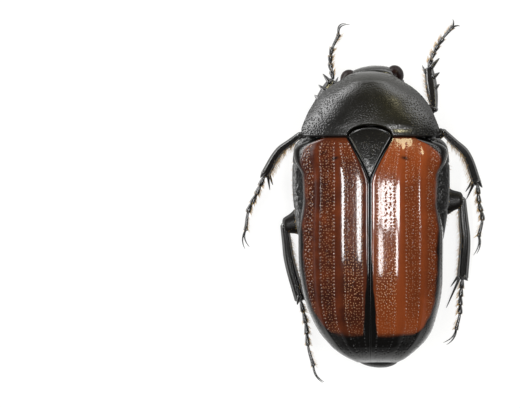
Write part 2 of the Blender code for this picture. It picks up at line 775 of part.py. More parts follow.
def thigh(name, leg, grow=0.0):
    """Femur, flattened and swollen towards its middle, from beside the midline to the knee."""
    kind = name.split("_")[0]
    root = Vector(leg["coxa"])
    knee = toward(leg["knee"], root, knee_setback(leg, THIGH_RADII[kind][2][0]))
    stations = (0, 0.1, THIGH_WIDEST[kind], 0.9, 1)
    points = [root.lerp(knee, share) for share in stations]
    wide, widest, end = THIGH_RADII[kind]
    before_end = (end[0] * 1.28, end[1] * 1.15)
    radii = [(wide[0] * 0.7, wide[1] * 0.8), wide, widest, before_end, end]
    return limb(f"leg_{name}_femur", points, radii, sides=10, steps=10, grow=grow)


def shin(name, leg):
    """Tibia with its outer teeth and end spurs."""
    kind = name.split("_")[0]
    knee = Vector(leg["knee"])
    ankle = Vector(leg["ankle"])
    middle = shin_middle(leg)
    points = [knee, knee.lerp(middle, 0.5), middle, ankle]
    obj = limb(f"leg_{name}_tibia", points, SHIN_RADII[kind], sides=8, steps=7)
    thorns = [spine(a, b, 0.28, tip_radius=0.08) for a, b in leg["teeth"]]
    top = ankle.z + SPUR_LIFT
    for i, (base, tip) in enumerate(leg["spurs"]):
        thorns.append(spine((base[0], base[1], top - i * SPUR_STAGGER), tip, 0.2, tip_radius=0.07))
    return fuse(obj, thorns)


def foot(name, leg):
    """Tarsus of five joints, each widening to its end, flat under the sole, with two curved claws."""
    start = toward(leg["ankle"], shin_middle(leg), -GAP * 1.4) - Vector((0, 0, 0.1))
    path = smooth_path([start, *leg["foot"]], 60)
    shares = [0.0, 0.17, 0.34, 0.51, 0.68, 1.0]
    points = []
    radii = []
    for start, end in zip(shares, shares[1:]):
        for part, radius in ((0.03, 0.19), (0.35, 0.23), (0.85, 0.28), (0.97, 0.25)):
            share = start + (end - start) * part
            points.append(path[int(round(share * 59))])
            radii.append((radius, radius))
    points[0] = path[0]
    obj = limb(f"leg_{name}_tarsus", points, radii, sides=7, floor=0.0)
    root = toward(path[-1], path[-8], 0.15)
    claws = [spine(root, tip, 0.2, bend=leg["claw_bend"], tip_radius=0.06) for tip in leg["claws"]]
    return fuse(obj, claws)


def shade(obj, finish):
    """Smooth shading with sharp edges kept, and the named finish."""
    colour, roughness, metallic = FINISHES[finish]
    material = bpy.data.materials.get(finish) or bpy.data.materials.new(finish)
    material.use_nodes = True
    shader = material.node_tree.nodes["Principled BSDF"]
    shader.inputs["Base Color"].default_value = (*colour, 1)
    shader.inputs["Roughness"].default_value = roughness
    shader.inputs["Metallic"].default_value = metallic
    obj.data.materials.clear()
    obj.data.materials.append(material)
    obj.data.shade_smooth()
    obj.data.set_sharp_from_angle(angle=math.radians(40))


def beds(*kinds):
    """Cutters that keep the gap round the thighs of the named pairs."""
    return [thigh(name, leg, GAP) for name, leg in LEGS.items() if name.split("_")[0] in kinds]


def scutellum_bed():
    """Upright cutter a gap wider than the scutellum, for the pronotum's base."""
    grow = GAP * 1.3
    angles = np.linspace(0, math.pi, 13)
    reach = SCUTELLUM_FRONT + grow - SCUTELLUM_SHOULDER
    half = SCUTELLUM_HALF_WIDTH + grow
    outline = [(half * math.cos(a), SCUTELLUM_SHOULDER + reach * math.sin(a)) for a in angles]
    outline += [(-half, 5), (half, 5)]
    return loft("cutter", [[(x, y, z) for x, y in outline] for z in (7.6, 12)])


def carry(pieces):
    """Scales the pieces to metres and hangs them on an empty that sets the origin below the middle."""
    corners = []
    for obj in pieces:
        obj.data.transform(Matrix.Scale(MM, 4))
        corners += [v.co for v in obj.data.vertices]
    corners = np.array(corners)
    low = corners.min(axis=0)
    high = corners.max(axis=0)
    beetle = bpy.data.objects.new("beetle", None)
    bpy.context.scene.collection.objects.link(beetle)
    beetle.location = (-(low[0] + high[0]) / 2, -(low[1] + high[1]) / 2, -low[2])
    for obj in pieces:
        centre = Vector(np.mean([v.co for v in obj.data.vertices], axis=0))
        obj.data.transform(Matrix.Translation(-centre))
        obj.location = centre
        obj.parent = beetle


def main():
    for obj in list(bpy.data.objects):
        bpy.data.objects.remove(obj)
    head = carve(head_body("head"), [eye(-1, GAP), eye(1, GAP)])
    front_cutters = [head_body("cutter", GAP), eye(-1, GAP), eye(1, GAP), scutellum_bed(), *beds("fore")]
    front = carve(prothorax(), front_cutters)
    middle = carve(thorax(), beds("mid", "hind"))
    belly = carve(abdomen(), beds("hind"))
    black = [head, front, middle, belly, pygidium(), scutellum(), mouthparts(), antenna(-1), antenna(1)]
    brown = [elytron(-1), elytron(1)]
    eyes = [eye(-1), eye(1)]
    legs = [make(name, leg) for name, leg in LEGS.items() for make in (thigh, shin, foot)]
    finished = {"black_cuticle": black, "chestnut_cuticle": brown, "eye": eyes, "dark_limb": legs}
    for finish, pieces in finished.items():
        for obj in pieces:
            shade(obj, finish)
    carry(black + brown + eyes + legs)


main()
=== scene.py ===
"""Dressed model of a dried flower beetle at life size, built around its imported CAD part.

Places are worked out in millimetres on the body's own plan, with the head to +Y and the floor at
height 0, and are moved into the part's frame, in metres, when a piece is made.
"""

import logging
import math
from collections.abc import Callable, Sequence
from dataclasses import dataclass, field, replace
from enum import Enum

import bpy
import numpy as np
from mathutils import Matrix, Vector
from numpy.typing import NDArray


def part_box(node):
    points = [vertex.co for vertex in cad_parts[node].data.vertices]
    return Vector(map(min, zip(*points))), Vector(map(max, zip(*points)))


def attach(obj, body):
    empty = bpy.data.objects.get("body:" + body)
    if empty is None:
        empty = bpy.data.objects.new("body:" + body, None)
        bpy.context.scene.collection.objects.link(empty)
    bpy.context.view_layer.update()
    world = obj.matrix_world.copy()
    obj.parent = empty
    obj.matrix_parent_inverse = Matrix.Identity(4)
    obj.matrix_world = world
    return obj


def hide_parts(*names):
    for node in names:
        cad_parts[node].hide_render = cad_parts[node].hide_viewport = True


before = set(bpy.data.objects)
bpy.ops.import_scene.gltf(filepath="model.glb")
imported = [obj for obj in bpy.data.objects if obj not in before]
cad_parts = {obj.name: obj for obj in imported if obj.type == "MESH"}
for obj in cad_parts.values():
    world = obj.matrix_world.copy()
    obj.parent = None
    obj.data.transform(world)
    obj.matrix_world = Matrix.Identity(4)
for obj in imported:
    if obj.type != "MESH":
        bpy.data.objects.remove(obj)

Numbers = NDArray[np.float64]
Pair = tuple[float, float]
Triple = tuple[float, float, float]
Place = Triple
Stops = tuple[Pair, ...]
Tree = bpy.types.NodeTree
Socket = bpy.types.NodeSocket

log = logging.getLogger("beetle")

MM = 0.001
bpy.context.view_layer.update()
PLAN_BASE = 6.4  # where the pronotum's base lies on the plan, which fixes the plan in the part's frame
MIDDLE = (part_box("elytron_left")[0].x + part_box("elytron_right")[1].x) / 2 / MM
SHIFT = np.array([MIDDLE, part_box("prothorax")[0].y / MM - PLAN_BASE, 0.0])
GAP = 0.2  # clear space between neighbouring segments, in millimetres
WELD_STEPS = 1e5  # steps to a millimetre; places on the same step become one
ROUGH = 0.55  # how fast the steps of a noise fade as they get finer
ROUND = 2 * math.pi  # a whole turn
UP: Place = (0.0, 0.0, 1.0)
AHEAD: Place = (0.0, 1.0, 0.0)


class Side(Enum):
    """The two sides of the body, by the sign of X."""

    LEFT = -1
    RIGHT = 1

    @property
    def word(self) -> str:
        """Name of the side as the nodes have it."""
        return self.name.lower()


@dataclass(frozen=True)
class BodyPlan:
    """Profiles along the body in millimetres that more than one piece follows."""

    elytra_front: float = 6.2
    elytra_tip: float = -11.7
    half_front: Stops = (
        (-3.5, 5.76), (-1.5, 5.78), (1.3, 5.42), (3.2, 5.5), (4.4, 6.05), (5.1, 6.15), (5.7, 5.7), (6.2, 4.4),
    )  # fmt: skip
    half_rear_left: Stops = (
        (-11.7, 1.1), (-11.3, 1.95), (-10.7, 2.85), (-10.1, 3.45), (-9.44, 4.0), (-8.8, 4.4), (-8.16, 4.72),
        (-7.4, 5.05), (-5.7, 5.5),
    )  # fmt: skip
    half_rear_right: Stops = (
        (-11.7, 2.1), (-11.45, 2.65), (-11.2, 3.0), (-10.67, 3.65), (-10.1, 4.23), (-9.4, 4.73), (-8.8, 5.0),
        (-8.16, 5.2), (-7.5, 5.38), (-6.9, 5.52), (-5.7, 5.7),
    )  # fmt: skip
    margin: Stops = ((-11.7, 4.6), (-9.0, 4.55), (-4.0, 4.65), (0.0, 4.95), (4.0, 5.4), (6.2, 6.3))
    top: Stops = (
        (-11.7, 4.9), (-11.5, 5.7), (-11.2, 6.4), (-10.7, 7.0), (-10.0, 7.42), (-8.5, 8.12), (-6.0, 8.95),
        (-3.0, 9.45), (1.0, 9.6), (4.0, 9.47), (5.2, 9.2), (6.2, 8.85),
    )  # fmt: skip
    thorax_half: Stops = (
        (-1.8, 5.8), (-0.6, 6.0), (0.5, 6.15), (2.5, 6.3), (5.0, 6.2), (5.8, 5.95), (6.2, 5.5),
    )  # fmt: skip
    thorax_under: Stops = ((-1.8, 1.6), (0.2, 1.4), (1.0, 1.3), (3.8, 1.3), (4.8, 1.7), (6.2, 2.5))
    abdomen_under: Stops = ((-11.1, 2.9), (-10.0, 2.3), (-8.0, 1.85), (-5.0, 1.6), (-2.0, 1.55))
    dome_curve: float = 0.043
    flank: Stops = ((-11.7, 0.9), (-10.2, 1.5), (-8.5, 1.1), (-6.0, 0.75), (4.0, 0.7), (6.2, 1.5))
    scutellum_half: float = 1.72
    scutellum_tip: float = 2.85
    scutellum_shoulder: float = 6.3
    scutellum_front: float = 7.1


PLAN = BodyPlan()


def along(stops: Stops | Sequence[Sequence[float]], place: Numbers | float) -> Numbers:
    """Value of a (place, value) table, by a cubic curve in each stretch that does not overshoot.

    Args:
        stops: The table, in rising order of place.
        place: Where the value is wanted, of any shape.

    Returns:
        The values, of the same shape as place.
    """
    xs, ys = np.array(stops, float).T
    steps = np.diff(xs)
    rises = np.diff(ys) / steps
    slopes = np.concatenate([[rises[0]], (rises[:-1] + rises[1:]) / 2, [rises[-1]]])
    slopes[np.concatenate([[False], rises[:-1] * rises[1:] <= 0, [False]])] = 0
    limit = 3 * np.minimum(np.abs(np.append(rises, rises[-1])), np.abs(np.insert(rises, 0, rises[0])))
    slopes = np.clip(slopes, -limit, limit)
    at = np.clip(np.asarray(place, float), xs[0], xs[-1])
    i = np.clip(np.searchsorted(xs, at) - 1, 0, len(steps) - 1)
    t = (at - xs[i]) / steps[i]
    return (
        (2 * t**3 - 3 * t**2 + 1) * ys[i]
        + (t**3 - 2 * t**2 + t) * steps[i] * slopes[i]
        + (3 * t**2 - 2 * t**3) * ys[i + 1]
        + (t**3 - t**2) * steps[i] * slopes[i + 1]
    )


def arc_lengths(line: Numbers, weight: Numbers | float = 1.0) -> Numbers:
    """Length along a line of places up to each of them, with its stretches weighted."""
    return np.insert(np.cumsum(np.linalg.norm(np.diff(line, axis=0), axis=1) * weight), 0, 0.0)


def evenly(line: Numbers, values: Numbers, count: int, weight: Numbers | float = 1.0) -> Numbers:
    """Values at even steps along a line, closer together where its stretches weigh more.

    Args:
        line: Places along the line.
        values: A value at each of them.
        count: How many values to return.
        weight: Weight of each stretch between two places.

    Returns:
        The values.
    """
    arc = arc_lengths(line, weight)
    return np.interp(np.linspace(0, arc[-1], count), arc, values)


def smooth_path(points: Sequence[Sequence[float]], count: int) -> Numbers:
    """Evenly shared places on a smooth curve through a few given ones.

    Args:
        points: The given places.
        count: How many places to return.

    Returns:
        The places, as count rows of three.
    """
    given = np.array(points, float)
    lengths = arc_lengths(given)
    at = np.linspace(0, lengths[-1], count)
    return np.stack([along(np.stack([lengths, given[:, k]], 1), at) for k in range(3)], -1)


def unit(vectors: Numbers) -> Numbers:
    """The vectors at length one."""
    return vectors / np.maximum(np.linalg.norm(vectors, axis=-1, keepdims=True), 1e-12)


def hill(place: Numbers, middle: Numbers | float, width: Numbers | float) -> Numbers:
    """Bell curve of height one."""
    return np.exp(-(((place - middle) / width) ** 2))


def ease(start: Numbers | float, end: Numbers | float, place: Numbers) -> Numbers:
    """Smooth step from 0 at start to 1 at end."""
    t = np.clip((place - start) / (np.asarray(end, float) - start), 0, 1)
    return t * t * (3 - 2 * t)


def signed_power(value: Numbers, power: Numbers | float) -> Numbers:
    """Power of each value's size, with the value's sign."""
    return np.sign(value) * np.abs(value) ** power


def oval(angle: Numbers, power: float) -> tuple[Numbers, Numbers]:
    """Across and up on a superellipse of a power, with half axes of one."""
    return signed_power(np.cos(angle), 2 / power), signed_power(np.sin(angle), 2 / power)


def angles_round(count: int) -> Numbers:
    """Even angles once round."""
    return np.linspace(0, ROUND, count, endpoint=False)


@dataclass
class Skin:
    """Surface of a piece: places in millimetres, four-cornered faces, their map and painted values."""

    places: Numbers
    faces: NDArray[np.int64]
    maps: Numbers
    paint: dict[str, Numbers] = field(default_factory=dict)

    def flipped(self) -> "Skin":
        """The same surface with its faces turned round."""
        return replace(self, faces=self.faces[:, ::-1], maps=self.maps[:, ::-1])

    def outward(self) -> "Skin":
        """The closed surface with its faces turned outwards, by the sign of its volume."""
        a, b, c, d = (self.places[self.faces[:, k]] for k in range(4))
        volume = np.sum(a * (np.cross(b, c) + np.cross(c, d)))
        return self if volume > 0 else self.flipped()

    def on_map(self, u: float, v: float, wide: float, high: float) -> "Skin":
        """The same surface on a part of the map."""
        return replace(self, maps=self.maps * (wide, high) + (u, v))


def sheet(points: Numbers, wrap: bool = False, **paint: Numbers | float) -> Skin:
    """Skin of a grid of places, whose map is the grid itself.

    Args:
        points: The grid, rows by columns by three.
        wrap: Whether the last column joins the first.
        **paint: Values on the grid, rows by columns, or one value for all of it.

    Returns:
        The skin, with places that coincide still separate.
    """
    rows, cols = points.shape[:2]
    wide = cols if wrap else cols - 1
    r, c = np.meshgrid(np.arange(rows - 1), np.arange(wide), indexing="ij")
    corners = ((r, c), (r, c + 1), (r + 1, c + 1), (r + 1, c))
    faces = np.stack([i * cols + j % cols for i, j in corners], -1).reshape(-1, 4)
    maps = np.stack([np.stack([j / wide, i / (rows - 1)], -1) for i, j in corners], -2).reshape(-1, 4, 2)
    values = {name: np.broadcast_to(value, (rows, cols)).ravel() for name, value in paint.items()}
    return Skin(points.reshape(-1, 3), faces, maps, values)


def capped(rings: Numbers) -> Numbers:
    """The rings with a pole at each end, in the middle of the end ring."""
    first, last = (np.broadcast_to(ring.mean(0), ring.shape)[None] for ring in (rings[0], rings[-1]))
    return np.concatenate([first, rings, last])


def border_of(grid: Numbers) -> Numbers:
    """Values once round the border of a grid."""
    return np.concatenate([grid[0], grid[1:, -1], grid[-1, -2::-1], grid[-2:0:-1, 0]])


def cell(index: int, count: int) -> tuple[float, float, float, float]:
    """Place on the map for one skin of several: the first takes the left part, the rest a grid.

    Args:
        index: Which skin it is.
        count: How many there are.

    Returns:
        Its corner's two coordinates, its width and its height.
    """
    if count == 1:
        return 0.0, 0.0, 1.0, 1.0
    if index == 0:
        return 0.0, 0.0, 0.6, 1.0
    n = math.ceil(math.sqrt(count - 1))
    row, col = divmod(index - 1, n)
    return 0.62 + 0.38 * col / n, row / n, 0.36 / n, 0.96 / n


def merged(skins: Sequence[Skin]) -> Skin:
    """One skin of several, whose maps stay as they are.

    Args:
        skins: The skins; a value that one of them doesn't have is 0 on it.

    Returns:
        The skin of them all.
    """
    names = sorted({name for skin in skins for name in skin.paint})
    starts = np.cumsum([0] + [len(skin.places) for skin in skins])
    return Skin(
        np.concatenate([skin.places for skin in skins]),
        np.concatenate([skin.faces + start for skin, start in zip(skins, starts)]),
        np.concatenate([skin.maps for skin in skins]),
        {
            name: np.concatenate([skin.paint.get(name, np.zeros(len(skin.places))) for skin in skins])
            for name in names
        },
    )


def joined(skins: Sequence[Skin]) -> Skin:
    """One skin of several, each with its own part of the map."""
    return merged([skin.on_map(*cell(i, len(skins))) for i, skin in enumerate(skins)])


def linked(thing: bpy.types.Object) -> bpy.types.Object:
    """The object, put into the scene."""
    bpy.context.scene.collection.objects.link(thing)
    return thing


def make_piece(name: str, skin: Skin, finish: "Finish", slot: str, *replaces: str) -> None:
    """Object of a skin, welded where its places coincide, dressed and tied to the frame.

    Args:
        name: Name of the piece.
        skin: Its surface, in millimetres on the plan.
        finish: What it is made of.
        slot: Name of the record's material slot; not used.
        *replaces: The CAD nodes that it stands for.
    """
    keys = np.round(skin.places * WELD_STEPS).astype(np.int64)
    _, first, back = np.unique(keys, axis=0, return_index=True, return_inverse=True)
    faces = back.reshape(-1)[skin.faces]
    kept = faces != np.roll(faces, -1, axis=1)
    whole = kept.sum(1) >= 3
    faces, kept, maps = faces[whole], kept[whole], skin.maps[whole]
    counts = kept.sum(1)
    mesh = bpy.data.meshes.new(name)
    mesh.vertices.add(len(first))
    mesh.vertices.foreach_set("co", ((skin.places[first] + SHIFT) * MM).astype(np.float32).ravel())
    mesh.loops.add(int(counts.sum()))
    mesh.loops.foreach_set("vertex_index", faces[kept].astype(np.int32))
    mesh.polygons.add(len(counts))
    mesh.polygons.foreach_set("loop_start", np.insert(np.cumsum(counts), 0, 0)[:-1].astype(np.int32))
    layer = mesh.uv_layers.new(name="OFBake")
    layer.data.foreach_set("uv", maps[kept].astype(np.float32).ravel())
    for key, values in skin.paint.items():
        mesh.attributes.new(key, "FLOAT", "POINT").data.foreach_set("value", values[first].astype(np.float32))
    mesh.update(calc_edges=True)
    mesh.validate()
    mesh.shade_smooth()
    mesh.materials.append(finish.material())
    piece = linked(bpy.data.objects.new(name, mesh))
    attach(piece, "root")
    if replaces:
        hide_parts(*replaces)
    log.info("%s: %d faces", name, len(mesh.polygons))


def grid_normals(points: Numbers, row: int, col: int, axis: int, way: int = 1) -> Numbers:
    """Direction square to a grid of places, by the cross product of its two slopes.

    Args:
        points: The grid, rows by columns by three.
        row: Row of a place that fixes which side is out.
        col: Column of that place.
        axis: The axis along which it is looked at there.
        way: Sign of the outward direction there.

    Returns:
        Unit vectors out of the surface.
    """
    normals = unit(np.cross(np.gradient(points, axis=1), np.gradient(points, axis=0)))
    return normals * (way * np.sign(normals[row, col, axis]))


def press_pits(points: Numbers, outward: Numbers, rows: Numbers, cols: Numbers, radius: Numbers,
               depth: Numbers, reach: int = 5) -> tuple[Numbers, Numbers]:  # fmt: skip
    """Pushes round pits into a grid of places.

    Each place sinks by depth * (1 - (distance / radius)^2)^1.5 below the nearest pit's middle.

    Args:
        points: The grid, rows by columns by three.
        outward: Direction out of the surface at each place.
        rows: Row of each pit's middle, with fractions.
        cols: Column of each pit's middle, with fractions.
        radius: Radius of each pit in millimetres.
        depth: Depth of each pit in millimetres.
        reach: How many grid steps from its middle a pit may reach.

    Returns:
        The grid with its pits, and how deep each place sank as a share of the deepest pit.
    """
    high, wide = points.shape[:2]
    r = np.clip(rows, 1, high - 2.01)
    c = np.clip(cols, 1, wide - 2.01)
    i, j = np.floor(r).astype(int), np.floor(c).astype(int)
    s, t = (r - i)[:, None], (c - j)[:, None]
    middle = (
        points[i, j] * (1 - s) * (1 - t)
        + points[i + 1, j] * s * (1 - t)
        + points[i, j + 1] * (1 - s) * t
        + points[i + 1, j + 1] * s * t
    )
    down, across = np.mgrid[-reach : reach + 1, -reach : reach + 1].reshape(2, -1)
    ii = np.clip(i[:, None] + down, 0, high - 1)
    jj = np.clip(j[:, None] + across, 0, wide - 1)
    gap = np.linalg.norm(points[ii, jj] - middle[:, None], axis=-1)
    sink = depth[:, None] * np.clip(1 - (gap / radius[:, None]) ** 2, 0, None) ** 1.5
    depths = np.zeros((high, wide))
    np.maximum.at(depths, (ii, jj), sink)
    edge = np.ones((high, wide))
    edge[[0, -1], :] = 0
    edge[:, [0, -1]] = 0
    depths *= edge
    return points - outward * depths[..., None], depths / max(float(depths.max()), 1e-9)


def scattered(high: float, wide: float, step_rows: float, step_cols: float, rng: np.random.Generator,
              loose: float = 0.42) -> tuple[Numbers, Numbers]:  # fmt: skip
    """Places of an offset lattice over a grid, each moved a little at random.

    Args:
        high: Rows of the grid.
        wide: Columns of the grid.
        step_rows: Rows between neighbours.
        step_cols: Columns between neighbours.
        rng: Seeded source of the moves.
        loose: Largest move as a share of the step.

    Returns:
        Rows and columns of the places.
    """
    r, c = np.meshgrid(np.arange(2, high - 2, step_rows), np.arange(2, wide - 2, step_cols), indexing="ij")
    c = c + (np.arange(r.shape[0]) % 2)[:, None] * step_cols / 2
    r = r + rng.uniform(-loose, loose, r.shape) * step_rows
    c = c + rng.uniform(-loose, loose, c.shape) * step_cols
    return r.ravel(), c.ravel()


@dataclass(frozen=True)
class PitField:
    """Loose lattice of fine round pits: grid steps between them, range of sizes, radius and depth."""

    spacing: Pair
    sizes: Pair
    radius: float
    seed: int
    depth: float = 0.02
    reach: int = 3

    def press(self, points: Numbers, outward: Numbers, rows: int | None = None) -> Numbers:
        """Presses the pits into a grid of places.

        Args:
            points: The grid, rows by columns by three.
            outward: Direction out of the surface at each place.
            rows: How many of its rows have pits, where not all have them.

        Returns:
            The pitted grid.
        """
        rng = np.random.default_rng(self.seed)
        r, c = scattered(rows or points.shape[0], points.shape[1], *self.spacing, rng)
        size = rng.uniform(*self.sizes, len(r))
        return press_pits(points, outward, r, c, size * self.radius, size * self.depth, self.reach)[0]


@dataclass
class Tube:
    """Oval rings carried along a path, closed by rounded ends."""

    path: Numbers
    widths: Numbers
    depths: Numbers
    sides: int = 20
    up: Place = UP
    flutes: int = 0
    flute_height: float = 0.0
    bulge: float = 0.8
    floor: float | None = None

    def frames(self) -> tuple[Numbers, Numbers, Numbers]:
        """Directions ahead, to the side and up at each place of the path."""
        ahead = unit(np.gradient(self.path, axis=0))
        side = unit(np.cross(ahead, np.array(self.up)))
        return ahead, side, np.cross(side, ahead)

    def skin(self) -> Skin:
        """Closed skin: each ring is the oval (width cos a, depth sin a), fluted by a cosine of a.

        Returns:
            The skin, its faces outwards.
        """
        ahead, side, top = self.frames()
        turn, count = np.radians([0.0, 20.0, 42.0, 65.0]), len(self.path)
        size = np.concatenate([np.sin(turn), np.ones(count), np.sin(turn[::-1])])
        push = np.concatenate([-np.cos(turn), np.zeros(count), np.cos(turn[::-1])])
        index = np.clip(np.arange(len(size)) - len(turn), 0, count - 1)
        centre = self.path[index] + ahead[index] * (push * self.bulge * self.depths[index])[:, None]
        angle = angles_round(self.sides)
        flute = 1 + self.flute_height * np.cos(self.flutes * angle)
        across = (self.widths[index] * size)[:, None] * np.cos(angle) * flute
        upward = (self.depths[index] * size)[:, None] * np.sin(angle) * flute
        points = centre[:, None] + side[index][:, None] * across[..., None]
        points = points + top[index][:, None] * upward[..., None]
        if self.floor is not None:
            points[..., 2] = np.maximum(points[..., 2], self.floor)
        return sheet(points, wrap=True).outward()

    def roots(self, share: Numbers, angle: Numbers) -> tuple[Numbers, Numbers, Numbers]:
        """Places on the tube, with the directions out of it and ahead along it.

        Args:
            share: How far along the path, from 0 to 1.
            angle: Angle round the tube, 0 to its side and a quarter turn up.

        Returns:
            Places, outward directions and directions ahead.
        """
        ahead, side, top = self.frames()
        at = share * (len(self.path) - 1)
        i = np.clip(at.astype(int), 0, len(self.path) - 2)
        t = (at - i)[:, None]
        out = side[i] * np.cos(angle)[:, None] + top[i] * np.sin(angle)[:, None]
        width = self.widths[i][:, None] * np.cos(angle)[:, None]
        depth = self.depths[i][:, None] * np.sin(angle)[:, None]
        centre = self.path[i] * (1 - t) + self.path[i + 1] * t
        return centre + side[i] * width + top[i] * depth, out, ahead[i]


def thorn(root: Sequence[float], tip: Sequence[float], radius: float, bend: Sequence[float] = (0, 0, 0),
          tip_radius: float = 0.02) -> Skin:  # fmt: skip
    """Tapered, bent cone: the path is root + (tip - root) t + 4 bend t (1 - t).

    Args:
        root: Where it grows.
        tip: Where it ends.
        radius: Its radius at the root.
        bend: How far its middle is pushed aside.
        tip_radius: Its radius at the tip.

    Returns:
        Its closed skin.
    """
    t = np.linspace(0, 1, 12)
    start, end = np.array(root, float), np.array(tip, float)
    path = start + (end - start) * t[:, None] + np.array(bend, float) * (4 * t * (1 - t))[:, None]
    sizes = tip_radius + (radius - tip_radius) * (1 - t) ** 0.8
    return Tube(path, sizes, sizes, 10, floor=0.0).skin()


def colour(code: str) -> tuple[float, float, float, float]:
    """Linear colour of an sRGB hex code.

    Args:
        code: The code, with its leading hash.

    Returns:
        Red, green, blue and an alpha of one.
    """
    parts = np.array([int(code[k : k + 2], 16) for k in (1, 3, 5)]) / 255
    linear = np.where(parts <= 0.04045, parts / 12.92, ((parts + 0.055) / 1.055) ** 2.4)
    return (*(float(value) for value in linear), 1.0)


def add(tree: Tree, kind: str, sockets: dict | None = None, output: int | str = 0,
        **settings: object) -> Socket | None:  # fmt: skip
    """Adds a node with its settings, socket values and links.

    Args:
        tree: The nodes that it joins.
        kind: Blender's name of the node, without its first word ShaderNode.
        sockets: Value or feeding socket of each input, by name or number.
        output: The output that is wanted, by name or number.
        **settings: Properties of the node.

    Returns:
        The wanted output, or nothing where the node has none.
    """
    node = tree.nodes.new(f"ShaderNode{kind}")
    for name, value in settings.items():
        setattr(node, name, value)
    for key, value in (sockets or {}).items():
        if isinstance(value, bpy.types.NodeSocket):
            tree.links.new(value, node.inputs[key])
        else:
            node.inputs[key].default_value = value
    return node.outputs[output] if node.outputs else None


@dataclass(frozen=True)
class Finish:
    """One finish: its gloss, two colours mixed by a mottle, and a grain. Sizes are in millimetres."""

    name: str
    colours: tuple[str, str]
    roughness: float
    mottle: float
    grain: float
    grain_depth: float
    mottle_detail: float = 3.0
    grain_detail: float = 2.0
    grain_strength: float = 0.5
    ior: float = 1.56
    coat: float = 0.0
    coat_roughness: float = 0.1
    sheen: float = 0.0
    specular: float = 0.5
    glow: float = 0.0

    def share_of(self, tree: Tree) -> Socket:
        """Share of the second colour: a mottle on the object's own coordinates."""
        look = {"Scale": 1 / (self.mottle * MM), "Detail": self.mottle_detail, "Roughness": ROUGH}
        return add(tree, "TexNoise", {"Vector": add(tree, "TexCoord", output="Object"), **look})

    def colour_of(self, tree: Tree) -> Socket:
        """Base colour: the second over the first, by the share."""
        first, second = (colour(code) for code in self.colours)
        return add(tree, "Mix", {0: self.share_of(tree), 6: first, 7: second}, 2, data_type="RGBA")

    def relief_of(self, tree: Tree) -> Socket:
        """Height of the fine relief, from 0 to 1: a grain on the object's own coordinates."""
        look = {"Scale": 1 / (self.grain * MM), "Detail": self.grain_detail, "Roughness": ROUGH}
        return add(tree, "TexNoise", {"Vector": add(tree, "TexCoord", output="Object"), **look})

    def gloss_of(self, tree: Tree) -> tuple[object, object]:
        """Specular level and the coat's weight."""
        return self.specular, self.coat

    def material(self) -> bpy.types.Material:
        """The material, made once and shared.

        Returns:
            The material.
        """
        found = bpy.data.materials.get(self.name)
        if found:
            return found
        material = bpy.data.materials.new(self.name)
        material.use_nodes = True
        tree = material.node_tree
        tree.nodes.clear()
        specular, coat = self.gloss_of(tree)
        grain = {"Strength": self.grain_strength, "Distance": self.grain_depth * MM}
        bump = add(tree, "Bump", {"Height": self.relief_of(tree), **grain})
        sockets = {
            "Base Color": self.colour_of(tree),
            "Roughness": self.roughness,
            "IOR": self.ior,
            "Coat Weight": coat,
            "Coat Roughness": self.coat_roughness,
            "Sheen Weight": self.sheen,
            "Specular IOR Level": specular,
            "Emission Strength": self.glow,
            "Normal": bump,
            "Coat Normal": bump,
        }
        add(tree, "OutputMaterial", {"Surface": add(tree, "BsdfPrincipled", sockets)})
        return material


